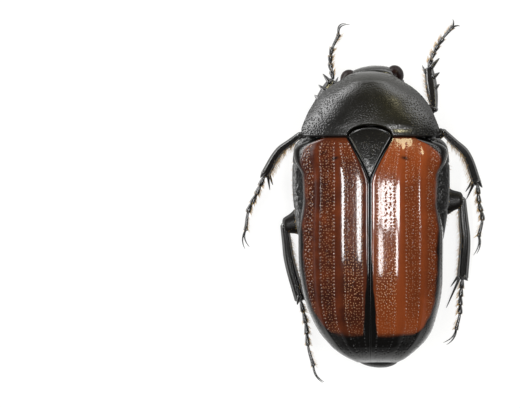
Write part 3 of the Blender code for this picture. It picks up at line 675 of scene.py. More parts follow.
@dataclass(frozen=True)
class WingCaseCuticle(Finish):
    """Elytra: colours mixed by painted warmth and a mottle, fine pits between the pressed ones, and a pale
    tan painted in the pits as their glints.
    """

    # Painted highlights: pit is the pale tan mixed into the pits in place of their glints; glint and
    # dot_glint set how much the pressed and fine pits get.
    pit: str = "#bd8d69"
    black: str = "#0a0908"
    cool: float = 0.42
    glint: float = 0.75
    dot_glint: Pair = (0.9, 0.3)
    dot_spacing: float = 0.22
    dot_scatter: float = 0.7
    dot_edge: Pair = (0.1, 0.25)
    dot_dulling: float = 0.85
    dulling: float = 0.7
    waves: float = 0.12

    def share_of(self, tree: Tree) -> Socket:
        """Share of amber, by the painted warmth and a mottle.

        Args:
            tree: The material's nodes.

        Returns:
            The share, from 0 to 1.
        """
        warm = add(tree, "Attribute", output="Fac", attribute_name="warm")
        mottle = super().share_of(tree)
        mottle = add(tree, "Math", {0: mottle, 1: self.cool}, operation="SUBTRACT", use_clamp=True)
        return add(tree, "Math", {0: warm, 1: mottle}, operation="ADD", use_clamp=True)

    def colour_of(self, tree: Tree) -> Socket:
        """Chestnut to amber, then pale tan in the pits as painted glints, brightest where painted so, then
        black borders.

        Args:
            tree: The material's nodes.

        Returns:
            The colour.
        """
        pit, bright, black = (
            add(tree, "Attribute", output="Fac", attribute_name=name) for name in ("pit", "bright", "black")
        )
        # Painted highlight: pale tan in the pressed pits by their depth and in the fine pits, standing in for
        # the lamps' glints in them.
        deep = add(tree, "Math", {0: pit, 1: 2.0}, operation="POWER", use_clamp=True)
        glint = add(tree, "Math", {0: deep, 1: self.glint}, operation="MULTIPLY", use_clamp=True)
        more, least = self.dot_glint
        share = add(tree, "Math", {0: bright, 1: more, 2: least}, operation="MULTIPLY_ADD", use_clamp=True)
        dots = add(tree, "Math", {0: self.dots(tree), 1: share}, operation="MULTIPLY", use_clamp=True)
        both = add(tree, "Math", {0: glint, 1: dots}, operation="MAXIMUM", use_clamp=True)
        body = super().colour_of(tree)
        body = add(tree, "Mix", {0: both, 6: body, 7: colour(self.pit)}, 2, data_type="RGBA")
        return add(tree, "Mix", {0: black, 6: body, 7: colour(self.black)}, 2, data_type="RGBA")

    def dots(self, tree: Tree) -> Socket:
        """Share of a fine pit, each about 0.09 mm wide, finer than the mesh.

        Args:
            tree: The material's nodes.

        Returns:
            The share, from 0 to 1.
        """
        place = add(tree, "TexCoord", output="Object")
        cells = {"Vector": place, "Scale": 1 / (self.dot_spacing * MM), "Randomness": self.dot_scatter}
        distance = add(tree, "TexVoronoi", cells, voronoi_dimensions="2D")
        start, end = self.dot_edge
        edge = {"Value": distance, "From Min": start, "From Max": end, "To Min": 1.0, "To Max": 0.0}
        near = add(tree, "MapRange", edge, interpolation_type="SMOOTHSTEP")
        pitted = add(tree, "Attribute", output="Fac", attribute_name="pitted")
        return add(tree, "Math", {0: near, 1: pitted}, operation="MULTIPLY", use_clamp=True)

    def gloss_of(self, tree: Tree) -> tuple[object, object]:
        """Less gloss in the fine pits, and where the flank is painted dull.

        Args:
            tree: The material's nodes.

        Returns:
            Specular level and the coat's weight.
        """
        pits = self.dots(tree)
        pits = add(tree, "Math", {0: pits, 1: self.dot_dulling}, operation="MULTIPLY", use_clamp=True)
        flank = add(tree, "Attribute", output="Fac", attribute_name="dull")
        dull = add(tree, "Math", {0: flank, 1: pits}, operation="MAXIMUM", use_clamp=True)
        specular, coat = (
            add(tree, "Math", {0: dull, 1: -share * full, 2: full}, operation="MULTIPLY_ADD", use_clamp=True)
            for share, full in ((self.dulling, self.specular), (1.0, self.coat))
        )
        return specular, coat

    def relief_of(self, tree: Tree) -> Socket:
        """Fine pits sunk into faint waves."""
        waves = super().relief_of(tree)
        waves = add(tree, "Math", {0: waves, 1: self.waves}, operation="MULTIPLY", use_clamp=True)
        return add(tree, "Math", {0: waves, 1: self.dots(tree)}, operation="SUBTRACT", use_clamp=True)


@dataclass(frozen=True)
class BlackCuticle(Finish):
    """Black body plates: polished chitin with olive mixed in as a painted sheen, dulled by close fine pits.
    """

    # Painted sheen: the second colour, an olive, stands in for the sheen on the black.
    colours: tuple[str, str] = ("#0b0a09", "#1f1d10")
    roughness: float = 0.28
    mottle: float = 3.0
    grain: float = 0.1
    grain_detail: float = 3.0
    grain_depth: float = 0.01
    dulling: float = 0.8
    gleam: float = 0.4

    def share_of(self, tree: Tree) -> Socket:
        """Share of olive, a painted sheen: the mottle times the painted sheen share."""
        cast = add(tree, "Attribute", output="Fac", attribute_name="cast")
        return add(tree, "Math", {0: super().share_of(tree), 1: cast}, operation="MULTIPLY", use_clamp=True)

    def gloss_of(self, tree: Tree) -> tuple[object, object]:
        """Less gloss in the pits, which hold dust, and a clear coat where the painted pit is below 0.

        Args:
            tree: The material's nodes.

        Returns:
            Specular level and the coat's weight.
        """
        pit = add(tree, "Attribute", output="Fac", attribute_name="pit")
        values = {0: pit, 1: -self.dulling * self.specular, 2: self.specular}
        specular = add(tree, "Math", values, operation="MULTIPLY_ADD", use_clamp=True)
        gleam = add(tree, "Math", {0: pit, 1: -self.gleam}, operation="MULTIPLY", use_clamp=True)
        return specular, add(tree, "Math", {0: gleam, 1: self.coat}, operation="MAXIMUM", use_clamp=True)


@dataclass(frozen=True)
class EyeLens(Finish):
    """Compound eye: a smooth dome of tiny facets."""

    def relief_of(self, tree: Tree) -> Socket:
        """Facets, one to a grain."""
        place = add(tree, "TexCoord", output="Object")
        return add(tree, "TexVoronoi", {"Vector": place, "Scale": 1 / (self.grain * MM)})


# Chestnut chitin mixed with amber where painted warm, under a clear hard gloss; a pale tan painted in the
# pits stands in for their sparkle.
WING_CASE = WingCaseCuticle(
    "chestnut_elytra_cuticle", ("#2f140c", "#7c3a19"), 0.2, mottle=1.6, mottle_detail=4.0, grain=0.25,
    grain_depth=0.02, grain_strength=0.7, coat=0.6, coat_roughness=0.06, specular=0.08,
)  # fmt: skip
# Hard black chitin of head and end plate: broad, even lights over a grain coarser than the real one.
PLATE = BlackCuticle("black_plate_cuticle", roughness=0.22, coat=0.1, coat_roughness=0.15)
# The shield's satin black, where dust in the pits softens the lights.
SHIELD = BlackCuticle("satin_shield_cuticle", grain_depth=0.008)
# The scutellum's polish: sharp small lights on black.
SCUTE = BlackCuticle("polished_scutellum_cuticle", coat=0.45, coat_roughness=0.08, specular=0.2)
# Wrinkled black of the breast, whose creases catch lines of light.
FLANK = BlackCuticle(
    "wrinkled_body_cuticle", ("#0a0909", "#1f1d10"), roughness=0.3, grain=0.35, grain_depth=0.2
)
# Dull black of the belly rings.
BELLY = BlackCuticle(
    "dull_belly_cuticle", ("#0a0908", "#1f1d10"), roughness=0.5, specular=0.08, grain=0.2, grain_depth=0.03
)
# Shiny black-brown shins, feet, feelers and mouthparts, with a grain coarser than the real one.
LIMB = Finish("dark_limb_cuticle", ("#050504", "#0c0704"), 0.25, 0.8, 0.12, 0.02, coat=0.5)
# The same chitin on the thighs, matt, so that they stay black from above.
THIGH = replace(LIMB, name="matt_thigh_cuticle", roughness=0.4, coat=0.05, specular=0.15)
# Dark red-brown eye, with facets drawn at 0.05 mm in place of the real 0.02 mm so that they show.
LENS = EyeLens(
    "compound_eye_cuticle", ("#090504", "#1d0c08"), 0.3, 0.5, 0.05, 0.008, mottle_detail=2.0,
    grain_strength=0.3, specular=0.12,
)  # fmt: skip
# Clear amber bristles, golden against the light and brown in the shade, from hair to hair.
HAIR = Finish(
    "golden_bristle", ("#d9b04a", "#7a4a14"), 0.45, 0.4, 0.06, 0.003, mottle_detail=1.0, grain_detail=1.0,
    grain_strength=0.2, ior=1.55, sheen=0.3,
)  # fmt: skip
# Plain pale board under the specimen, lit so evenly that it reads as white.
BOARD = Finish(
    "lit_pale_board", ("#868684", "#7f7f7d"), 0.9, 8.0, 0.5, 0.01, grain_strength=0.05, ior=1.45,
    specular=0.1, glow=0.8,
)  # fmt: skip


def elytra_half(side: Side, y: Numbers) -> Numbers:
    """Half width of one wing case, of which the right one lies a little open behind."""
    rear = PLAN.half_rear_left if side is Side.LEFT else PLAN.half_rear_right
    return along((*rear, *PLAN.half_front), y)


def dome_height(x: Numbers, half: Numbers, y: Numbers, inset: float = 0.0) -> Numbers:
    """Height of the elytra: margin + rise * (1 - s^4)^(1/2.5) with rise = top - margin - curve x^2.

    The share s runs from 0 to 1 over the flank beside the margin, so that the back is a shallow arch
    between steep flanks.

    Args:
        x: Distance from the body's middle.
        half: Half width of the elytron there.
        y: Place along the body.
        inset: How far below the top.

    Returns:
        The heights.
    """
    margin = along(PLAN.margin, y)
    rise = along(PLAN.top, y) - margin - inset - PLAN.dome_curve * x**2
    width = along(PLAN.flank, y)
    share = np.clip((x - half + width) / width, 0, 1)
    return margin + np.maximum(rise, 0) * (1 - share**4) ** (1 / 2.5)


def body_middle(y: Numbers) -> tuple[Numbers, Numbers]:
    """Middle and half width of the body under both elytra."""
    left, right = (elytra_half(side, y) for side in (Side.LEFT, Side.RIGHT))
    return (right - left) / 2, (right + left) / 2


def scutellum_half_width(y: Numbers) -> Numbers:
    """Half width of the scutellum: near-straight sides behind its shoulder, an arc of an oval in front.

    Args:
        y: Place along the body.

    Returns:
        The half widths.
    """
    ahead = np.clip((y - PLAN.scutellum_shoulder) / (PLAN.scutellum_front - PLAN.scutellum_shoulder), 0, 1)
    share = np.clip((y - PLAN.scutellum_tip) / (PLAN.scutellum_shoulder - PLAN.scutellum_tip), 0, 1)
    behind = PLAN.scutellum_half * share**1.15
    return np.where(y >= PLAN.scutellum_shoulder, PLAN.scutellum_half * np.sqrt(1 - ahead**2), behind)


@dataclass(frozen=True)
class CaseLook:
    """Colours of one wing case: black at its shoulder, warmth, strength of the painted glints in its pits,
    and its black spots.
    """

    shoulder: float
    warmth: float
    shine: float
    spots: tuple[tuple[float, float, float, float], ...]


LOOKS = {
    Side.LEFT: CaseLook(0.9, 0.2, 0.45, ((2.75, 4.6, 0.3, 0.95), (3.7, 5.0, 0.24, 0.55))),
    Side.RIGHT: CaseLook(1.15, 1.0, 1.0, ((2.75, 4.6, 0.3, 0.95),)),
}


@dataclass
class WingCase:
    """One elytron: a domed shell with three smooth costae and rows of pits between them.

    A costa has its step, height and width, and a hump its place across and along, its width and height.
    """

    side: Side
    front: float = PLAN.elytra_front + 0.08
    cross: int = 208
    rows: int = 425
    thickness: float = 0.5
    lining: tuple[float, ...] = (1.0, 0.97, 0.85, 0.6, 0.3, 0.0)
    lining_pole: Pair = (0.5, -2.7)
    costae: tuple[Triple, ...] = ((0.035, 0.045, 0.05), (0.43, 0.055, 0.075), (0.73, 0.065, 0.05))
    humps: tuple[tuple[float, float, float, float], ...] = ((2.9, -8.6, 1.1, 0.14), (4.6, 4.6, 0.8, 0.07))
    rounding: float = 0.09
    strong_rows: tuple[float, ...] = (0.1, 0.34, 0.5, 0.68)
    weak_rows: tuple[float, ...] = (0.22, 0.29, 0.59)
    flank_start: float = 0.815
    flank_step: float = 7.0
    pit_spacing: float = 0.27
    pit_radius: float = 0.075
    pit_depth: float = 0.05
    straight: float = 5.75
    suture_black: Stops = ((-11.7, 1.2), (-9.6, 0.55), (-8.0, 0.42), (-5.5, 0.24), (-3.0, 0.12), (6.2, 0.12))
    border_black: Stops = (
        (-11.7, 2.6), (-9.6, 1.6), (-9.1, 0.95), (-8.3, 0.65), (-6.7, 0.5), (-3.0, 0.5), (-1.5, 0.45),
        (0.5, 0.25), (3.0, 0.22), (4.2, 0.4), (5.0, 0.8),
    )  # fmt: skip

    def inner(self, y: Numbers) -> Numbers:
        """Inner edge: beside the suture, and beside the scutellum in front of its tip."""
        return 0.004 + np.where(y > PLAN.scutellum_tip - GAP, scutellum_half_width(y) + 0.05, 0.0)

    def surface(self, step: Numbers, y: Numbers, inset: float = 0.0) -> Numbers:
        """Smooth top: x runs from the suture to the margin by step, and z is the dome with its ridges.

        Lines of one step run straight along the body: x = even s + (half - even) s^4, where even is a
        half width without the waist, shoulder and full taper of the outline.

        Args:
            step: Share of the way from the inner edge to the outer one.
            y: Place along the body.
            inset: How far inside the top, for the plain lining.

        Returns:
            Places, with three numbers each.
        """
        half, inner = elytra_half(self.side, y) - inset, self.inner(y)
        even = self.straight - np.log1p(np.exp(4 * (self.straight - 1.2 * half))) / 4
        x = even * step + (half - even) * step**4 + inner * np.clip(1 - 2 * step, 0, 1)
        z = dome_height(x, half, y, inset)
        if not inset:
            fade = np.clip((y - PLAN.elytra_tip) / 2.5, 0, 1) * (0.1 + 0.9 * ease(6.0, 3.6, y))
            for place, height, width in self.costae:
                z = z + fade * height * hill(step, place, width)
            for right, ahead, width, height in self.humps:
                z = z + height * hill(x, right, width) * hill(y, ahead, width)
            edge = np.clip(1 - (x - inner) / self.rounding, 0, 1)
            z = z - self.rounding * (1 - np.sqrt(1 - edge**2))
        return np.stack([self.side.value * x, y, z], -1)

    def steps(self) -> Numbers:
        """Steps from suture to margin, even along the arc of a middle row and sparser down the flank."""
        fine = np.sin(np.linspace(0, math.pi / 2, 6000))
        line = self.surface(fine, np.full_like(fine, -2.0))
        return evenly(line, fine, self.cross, np.where(fine[1:] > 0.93, 0.35, 1.0))

    def pits(self, steps: Numbers) -> tuple[Numbers, Numbers, Numbers, Numbers]:
        """Pits: close rows beside the costae, loose ones between, and a lattice on the flank.

        Args:
            steps: Step of each column of the grid.

        Returns:
            Rows, columns, radii and depths.
        """
        rng = np.random.default_rng(11 + self.side.value)
        per_row = (PLAN.elytra_front - PLAN.elytra_tip) / (self.rows - 1)
        span = np.arange(14, self.rows - 12, self.pit_spacing / per_row)
        count, columns = len(span), np.arange(self.cross)
        found = []
        for places, kept, stray, spread, scale in (
            (self.strong_rows, 0.97, 0.5, 0.3, 1.0),
            (self.weak_rows, 0.85, 2.4, 1.4, 0.75),
        ):
            for step in places:
                keep = rng.random(count) < kept
                r = span + rng.uniform(-1, 1, count) * stray
                c = np.interp(step, steps, columns) + rng.normal(0, spread, count)
                size = rng.uniform(0.9, 1.15, count) * scale
                found.append(np.stack([r, c, size], 1)[keep])
        flank = float(np.interp(self.flank_start, steps, columns))
        r, c = scattered(self.rows - 26, self.cross - flank - 4, self.flank_step, self.flank_step, rng)
        found.append(np.stack([r + 13, c + flank, rng.uniform(0.7, 1.0, len(r))], 1))
        r, c, size = np.concatenate(found).T
        return r, c, size * self.pit_radius, size * self.pit_depth

    def black(self, x: Numbers, y: Numbers) -> Numbers:
        """Share of black: suture stripe, outer border, shoulder patch, apex band and small spots.

        Args:
            x: Distance from the body's middle.
            y: Place along the body.

        Returns:
            The shares, from 0 to 1.
        """
        look, phase = LOOKS[self.side], 0.7 * self.side.value
        wave = 0.1 * np.sin(2.1 * y + phase) + 0.06 * np.sin(5.3 * y + 1.7 * x + phase)
        suture = along(self.suture_black, y)
        stripe = 1 - ease(suture, suture + 0.1, x - self.inner(y) + 0.25 * wave * (y < 0))
        shoulder = ((5.5, look.shoulder), (5.8, look.shoulder), (6.2, look.shoulder - 0.3))
        start = elytra_half(self.side, y) - along((*self.border_black, *shoulder), y)
        rim = ease(start - 0.15, start + 0.15, x + 0.35 * wave)
        apex = 1 - ease(-9.75, -9.2, y + 0.8 * wave - 0.05 * (x - 1.5) ** 2)
        spots = [
            dark * hill(x, right, wide) * hill(y, ahead + 0.2 * (right - x), 0.13)
            for right, ahead, wide, dark in look.spots
        ]
        return np.clip(np.maximum.reduce([stripe, rim, apex, *spots]), 0, 1)

    def warm(self, x: Numbers, y: Numbers) -> Numbers:
        """Share of amber: more on the right wing case, at the base, on the ribs and before the apex.

        Args:
            x: Distance from the body's middle.
            y: Place along the body.

        Returns:
            The shares, from 0 to 1.
        """
        share = LOOKS[self.side].warmth
        inner = 1 - ease(3.0, 5.4, x)
        base = 0.35 * ease(2.0, 5.2, y)
        rear = 0.4 * (share - 0.25) * hill(y, -8.6, 1.5)
        rib = sum(hill(x, place * self.straight, 0.3) for place, _, _ in self.costae[1:])
        glow = 0.4 * share + 0.26 * share * inner + base * share + rear
        outer = 0.12 * (1 - share) * ease(2.2, 4.6, x)
        return np.clip(glow + (0.08 + 0.24 * share) * rib - 0.09 - outer, 0, 1)

    def paint(self, s: Numbers, y: Numbers, x: Numbers) -> dict[str, Numbers]:
        """Values painted on the top: colours with painted shade along the front edge, dull flank and front
        edge, fine pits and where their painted glints are strongest.

        Args:
            s: Share of the way from the inner edge to the outer one.
            y: Place along the body.
            x: Distance from the body's middle.

        Returns:
            A grid for each name.
        """
        past = x - elytra_half(self.side, y)
        flank = ease(0.0, 0.3, past + 0.75) * (1 - ease(-0.12, 0.0, past))
        # Painted shade: the front edge, which lies in the dark gap under the shield's base, is painted black
        # and made dull.
        shaded_lip = ease(self.front - 0.11, self.front - 0.04, y)
        pitted = ease(0.07, 0.1, s) * (1 - ease(0.85, 0.92, s)) * ease(0.0, 0.4, self.front - 0.2 - y)
        for place, _, _ in self.costae[1:]:
            pitted = pitted * (1 - ease(0.075, 0.055, np.abs(s - place)))
        shine = LOOKS[self.side].shine
        return {
            "black": np.maximum(self.black(x, y), shaded_lip),
            "warm": self.warm(x, y),
            "dull": np.maximum(flank * (1 - 0.6 * ease(-3.0, -7.0, y)), shaded_lip),
            "pitted": pitted,
            # Painted highlight: the zone where the pale tan glints painted in the pits are strongest.
            "bright": shine * hill(x, 1.45, 0.9) * ease(-1.5, -4.0, y) * ease(-8.6, -6.4, y),
        }

    def underside(self, s: Numbers, y: Numbers, top: Numbers) -> Skin:
        """Plain lining, whose rings shrink from the rim of the top to a pole.

        Args:
            s: Share of the way from the inner edge to the outer one.
            y: Place along the body.
            top: Places of the top.

        Returns:
            The lining, facing down.
        """
        rim_step, rim_y, rim_top = (border_of(grid) for grid in (s, y, top))
        step, place = self.lining_pole
        rings = [rim_top]
        for share in self.lining:
            ring = (step + (rim_step - step) * share, place + (rim_y - place) * share)
            rings.append(self.surface(*ring, self.thickness))
        return sheet(np.stack(rings), wrap=True, black=1.0, dull=1.0).flipped()

    def build(self) -> None:
        """Makes the shell: the pitted top and the lining under it."""
        steps = self.steps()
        y = np.append(np.linspace(PLAN.elytra_tip, self.front - 0.005, self.rows - 1), self.front)
        s, y = np.meshgrid(steps, y)
        smooth = self.surface(s, y)
        outward = grid_normals(smooth, self.rows // 2, 5, 2)
        top, pit = press_pits(smooth, outward, *self.pits(steps))
        above = sheet(top, pit=pit, **self.paint(s, y, np.abs(smooth[..., 0]))).on_map(0, 0, 1, 0.8)
        below = self.underside(s, y, top).on_map(0, 0.81, 1, 0.18)
        node = f"elytron_{self.side.word}"
        make_piece(f"{node}_shell", merged([above, below]).outward(), WING_CASE, "chestnut_cuticle", node)


@dataclass
class Pronotum:
    """Shield of the first thorax segment: one closed body, notched behind for the scutellum.

    A rounded edge has its share along the shield, its change of share, how far it shrinks, and its rings.
    """

    front: float = 11.55
    rear: float = 6.3
    half: Stops = (
        (6.3, 5.25), (6.85, 5.42), (7.5, 5.22), (8.6, 4.72), (9.55, 4.05), (10.3, 3.2), (10.8, 2.4),
        (11.2, 1.8), (11.55, 1.25),
    )  # fmt: skip
    top: Stops = (
        (6.3, 9.1), (8.0, 8.88), (9.5, 8.5), (10.4, 8.06), (10.8, 7.78), (11.15, 7.25), (11.4, 6.65),
        (11.55, 6.0),
    )  # fmt: skip
    side: Stops = ((6.4, 7.6), (7.6, 7.35), (8.8, 6.95), (9.5, 6.9), (10.5, 6.55), (11.2, 6.2), (11.55, 5.6))
    under: Stops = ((6.4, 2.7), (8.0, 2.3), (9.6, 2.6), (10.6, 3.3), (11.2, 4.1), (11.55, 4.7))
    arch_powers: Pair = (2.6, 1.07)
    keel_power: float = 2.2
    columns: int = 500
    rows: int = 160
    notch: float = 0.12
    body_span: Pair = (0.03, 0.985)
    edges: tuple[tuple[float, float, float, Triple], ...] = (
        (0.0, 0.03, 0.16, (0.0, 0.3, 0.6)),
        (1.0, -0.015, 0.14, (0.6, 0.3, 0.0)),
    )
    poles: tuple[Place, Place] = ((0.0, PLAN_BASE + 0.9, 5.4), (0.0, 11.55, 5.3))
    pit_steps: Pair = (5.6, 5.4)
    pit_radius: float = 0.075
    pit_depths: Pair = (0.012, 0.03)

    def base(self, x: Numbers) -> Numbers:
        """Where the base edge lies: an oval notch round the scutellum, and straight beside it.

        Args:
            x: Distance to the right of the middle.

        Returns:
            Places along the body.
        """
        reach = PLAN.scutellum_half + self.notch
        deep = PLAN.scutellum_front + self.notch - PLAN.scutellum_shoulder
        arc = PLAN.scutellum_shoulder + deep * np.sqrt(np.clip(1 - (x / reach) ** 2, 0, 1))
        return np.maximum(self.rear, arc)

    def surface(self, share: Numbers, angle: Numbers, inset: Numbers | float = 0.0) -> Numbers:
        """Arch above the sharp side edge and keel below it, each a superellipse.

        Args:
            share: How far from the base edge to the front edge.
            angle: Angle round the ring, a quarter turn at the top.
            inset: How far inside the outline, in millimetres.

        Returns:
            Places, with three numbers each.
        """
        over = np.sin(angle) >= 0
        across, upward = (2 / np.where(over, power, self.keel_power) for power in self.arch_powers)
        cosine, sine = signed_power(np.cos(angle), across), signed_power(np.sin(angle), upward)
        base = np.where(over, self.base(5.3 * cosine), PLAN_BASE)
        front = self.front - 0.22 * cosine**2
        y = base + (front - base) * share
        side = along(self.side, y)
        height = np.where(over, along(self.top, y) - side, side - along(self.under, y)) - inset
        bead = 0.06 * hill(angle, 0.0, 0.05) + 0.06 * hill(angle, math.pi, 0.05)
        x = (along(self.half, y) - inset + bead) * cosine
        groove = 0.075 * hill(y, self.rear + 0.6, 0.2) * (hill(x, 2.5, 0.9) + 0.2 * hill(x, -2.3, 0.8)) * over
        return np.stack([x, y, side + height * sine - groove], -1)

    def pitted(self, smooth: Numbers) -> tuple[Numbers, Numbers]:
        """Presses fine pits into the arch, deeper on its flanks.

        Args:
            smooth: Places of the arch.

        Returns:
            The pitted places, and the share of pit at each.
        """
        rng = np.random.default_rng(5)
        r, c = scattered(self.rows, self.columns, *self.pit_steps, rng)
        upper = np.abs(c - self.columns / 2) < self.columns * 0.43
        r, c = r[upper], c[upper]
        size = rng.uniform(0.6, 1.1, len(r))
        shallow, more = self.pit_depths
        depth = size * (shallow + more * ease(0.15, 0.3, np.abs(c / self.columns - 0.5)))
        outward = grid_normals(smooth, 10, self.columns // 2, 2)
        return press_pits(smooth, outward, r, c, size * self.pit_radius, depth, 4)

    def dust(self, points: Numbers, pit: Numbers) -> Numbers:
        """Share of dulling dust: most on the right and in the pits, and below 0 where the base gleams.

        Args:
            points: Places of the whole shield.
            pit: Share of pit on its arch.

        Returns:
            The shares, on the whole shield.
        """
        x, y = points[..., 0], points[..., 1]
        film = (0.45 + 0.35 * ease(0.0, 1.5, x)) * (1 - ease(0.87, 1.17, np.abs(x) / 4.2 + (y - 6.4) / 4.5))
        full = np.maximum(film * ease(6.9, 7.4, y), 0.8 * hill(x, 4.7, 0.8) * hill(y, 6.9, 1.0))
        edge = (len(points) - len(pit)) // 2
        full[edge:-edge] = np.maximum(full[edge:-edge], pit)
        return full - 2.0 * hill(x, 2.2, 0.8) * hill(y, self.rear + 0.52, 0.25)

    def build(self) -> None:
        """Makes the shield: evenly spaced columns, fine pits, rounded edges and closed ends."""
        fine = np.linspace(-math.pi / 2, 1.5 * math.pi, 4001)
        ring = self.surface(np.full_like(fine, 0.25), fine)
        angle = evenly(ring, fine, self.columns + 1, np.where(np.sin(fine[1:]) < 0, 0.3, 1.0))[:-1]
        share, turn = np.meshgrid(np.linspace(*self.body_span, self.rows), angle, indexing="ij")
        body, pit = self.pitted(self.surface(share, turn))
        back, front = (
            [self.surface(np.full_like(angle, end + way * k), angle, inset * (1 - k) ** 2) for k in shares]
            for end, way, inset, shares in self.edges
        )
        behind, ahead = (np.tile(pole, (1, self.columns, 1)) for pole in self.poles)
        points = np.concatenate([behind, back, body, front, ahead])
        # Painted reflection: olive strongest right of the middle, where a warm light from the front right is
        # reflected in the shield.
        cast = 0.9 * hill(points[..., 0], 1.4, 2.6)
        skin = sheet(points, wrap=True, pit=self.dust(points, pit), cast=cast).outward()
        make_piece("pronotum_shield", skin, SHIELD, "black_cuticle", "prothorax")


@dataclass
class Scutellum:
    """Nearly flat triangular plate between the wing cases, with a fine bead round it."""

    thickness: float = 0.6
    spokes: int = 260
    rings: int = 46
    centre: Pair = (0.0, 5.5)
    heights: Stops = ((2.85, 9.48), (3.5, 9.46), (4.5, 9.36), (6.2, 8.98), (7.1, 8.72))
    pits: PitField = PitField((4.5, 9.0), (0.6, 1.0), 0.06, 3, reach=5)

    def outline(self) -> Numbers:
        """Border of the plate from its tip round its front, evenly spaced.

        Returns:
            Places across and along.
        """
        straight = np.linspace(PLAN.scutellum_tip + 0.02, PLAN.scutellum_shoulder, 400)
        deep = PLAN.scutellum_front - PLAN.scutellum_shoulder
        arc = PLAN.scutellum_shoulder + deep * np.sin(np.linspace(0, math.pi / 2, 300))
        y = np.concatenate([straight, arc])
        half = scutellum_half_width(y)
        border = np.stack([np.append(half, -half[::-1]), np.append(y, y[::-1])], 1)
        return np.stack([evenly(border, border[:, k], self.spokes) for k in (0, 1)], 1)

    def build(self) -> None:
        """Makes the plate: rings grow from the centre to the border, then go down the edge and close."""
        share = np.linspace(0, 1, self.rings) ** 0.8
        flat = np.array(self.centre) + (self.outline() - self.centre) * share[:, None, None]
        top = along(self.heights, flat[..., 1])
        bead = 0.05 * hill(share, 0.94, 0.035) - 0.13 * ease(0.965, 1.0, share) ** 2
        arch = 0.042 * flat[..., 0] ** 2 / np.maximum(scutellum_half_width(flat[..., 1]), 0.02)
        z = top + 0.05 * (1 - share[:, None] ** 2) + bead[:, None] - np.minimum(arch, 0.08)
        plate = np.concatenate([flat, z[..., None]], -1)
        plate = self.pits.press(plate, np.broadcast_to(UP, plate.shape), self.rings - 6)
        wall = [plate[-1] - (0, 0, drop) for drop in (0.15, self.thickness)]
        pole = np.tile([*self.centre, float(plate[0, 0, 2]) - self.thickness], (1, self.spokes, 1))
        points = np.concatenate([plate, wall, pole])
        points[0] = points[0].mean(0)
        # Painted sheen: a little olive on the black plate.
        skin = sheet(points, wrap=True, cast=0.1).outward()
        make_piece("scutellum_plate", skin, SCUTE, "black_cuticle", "scutellum")


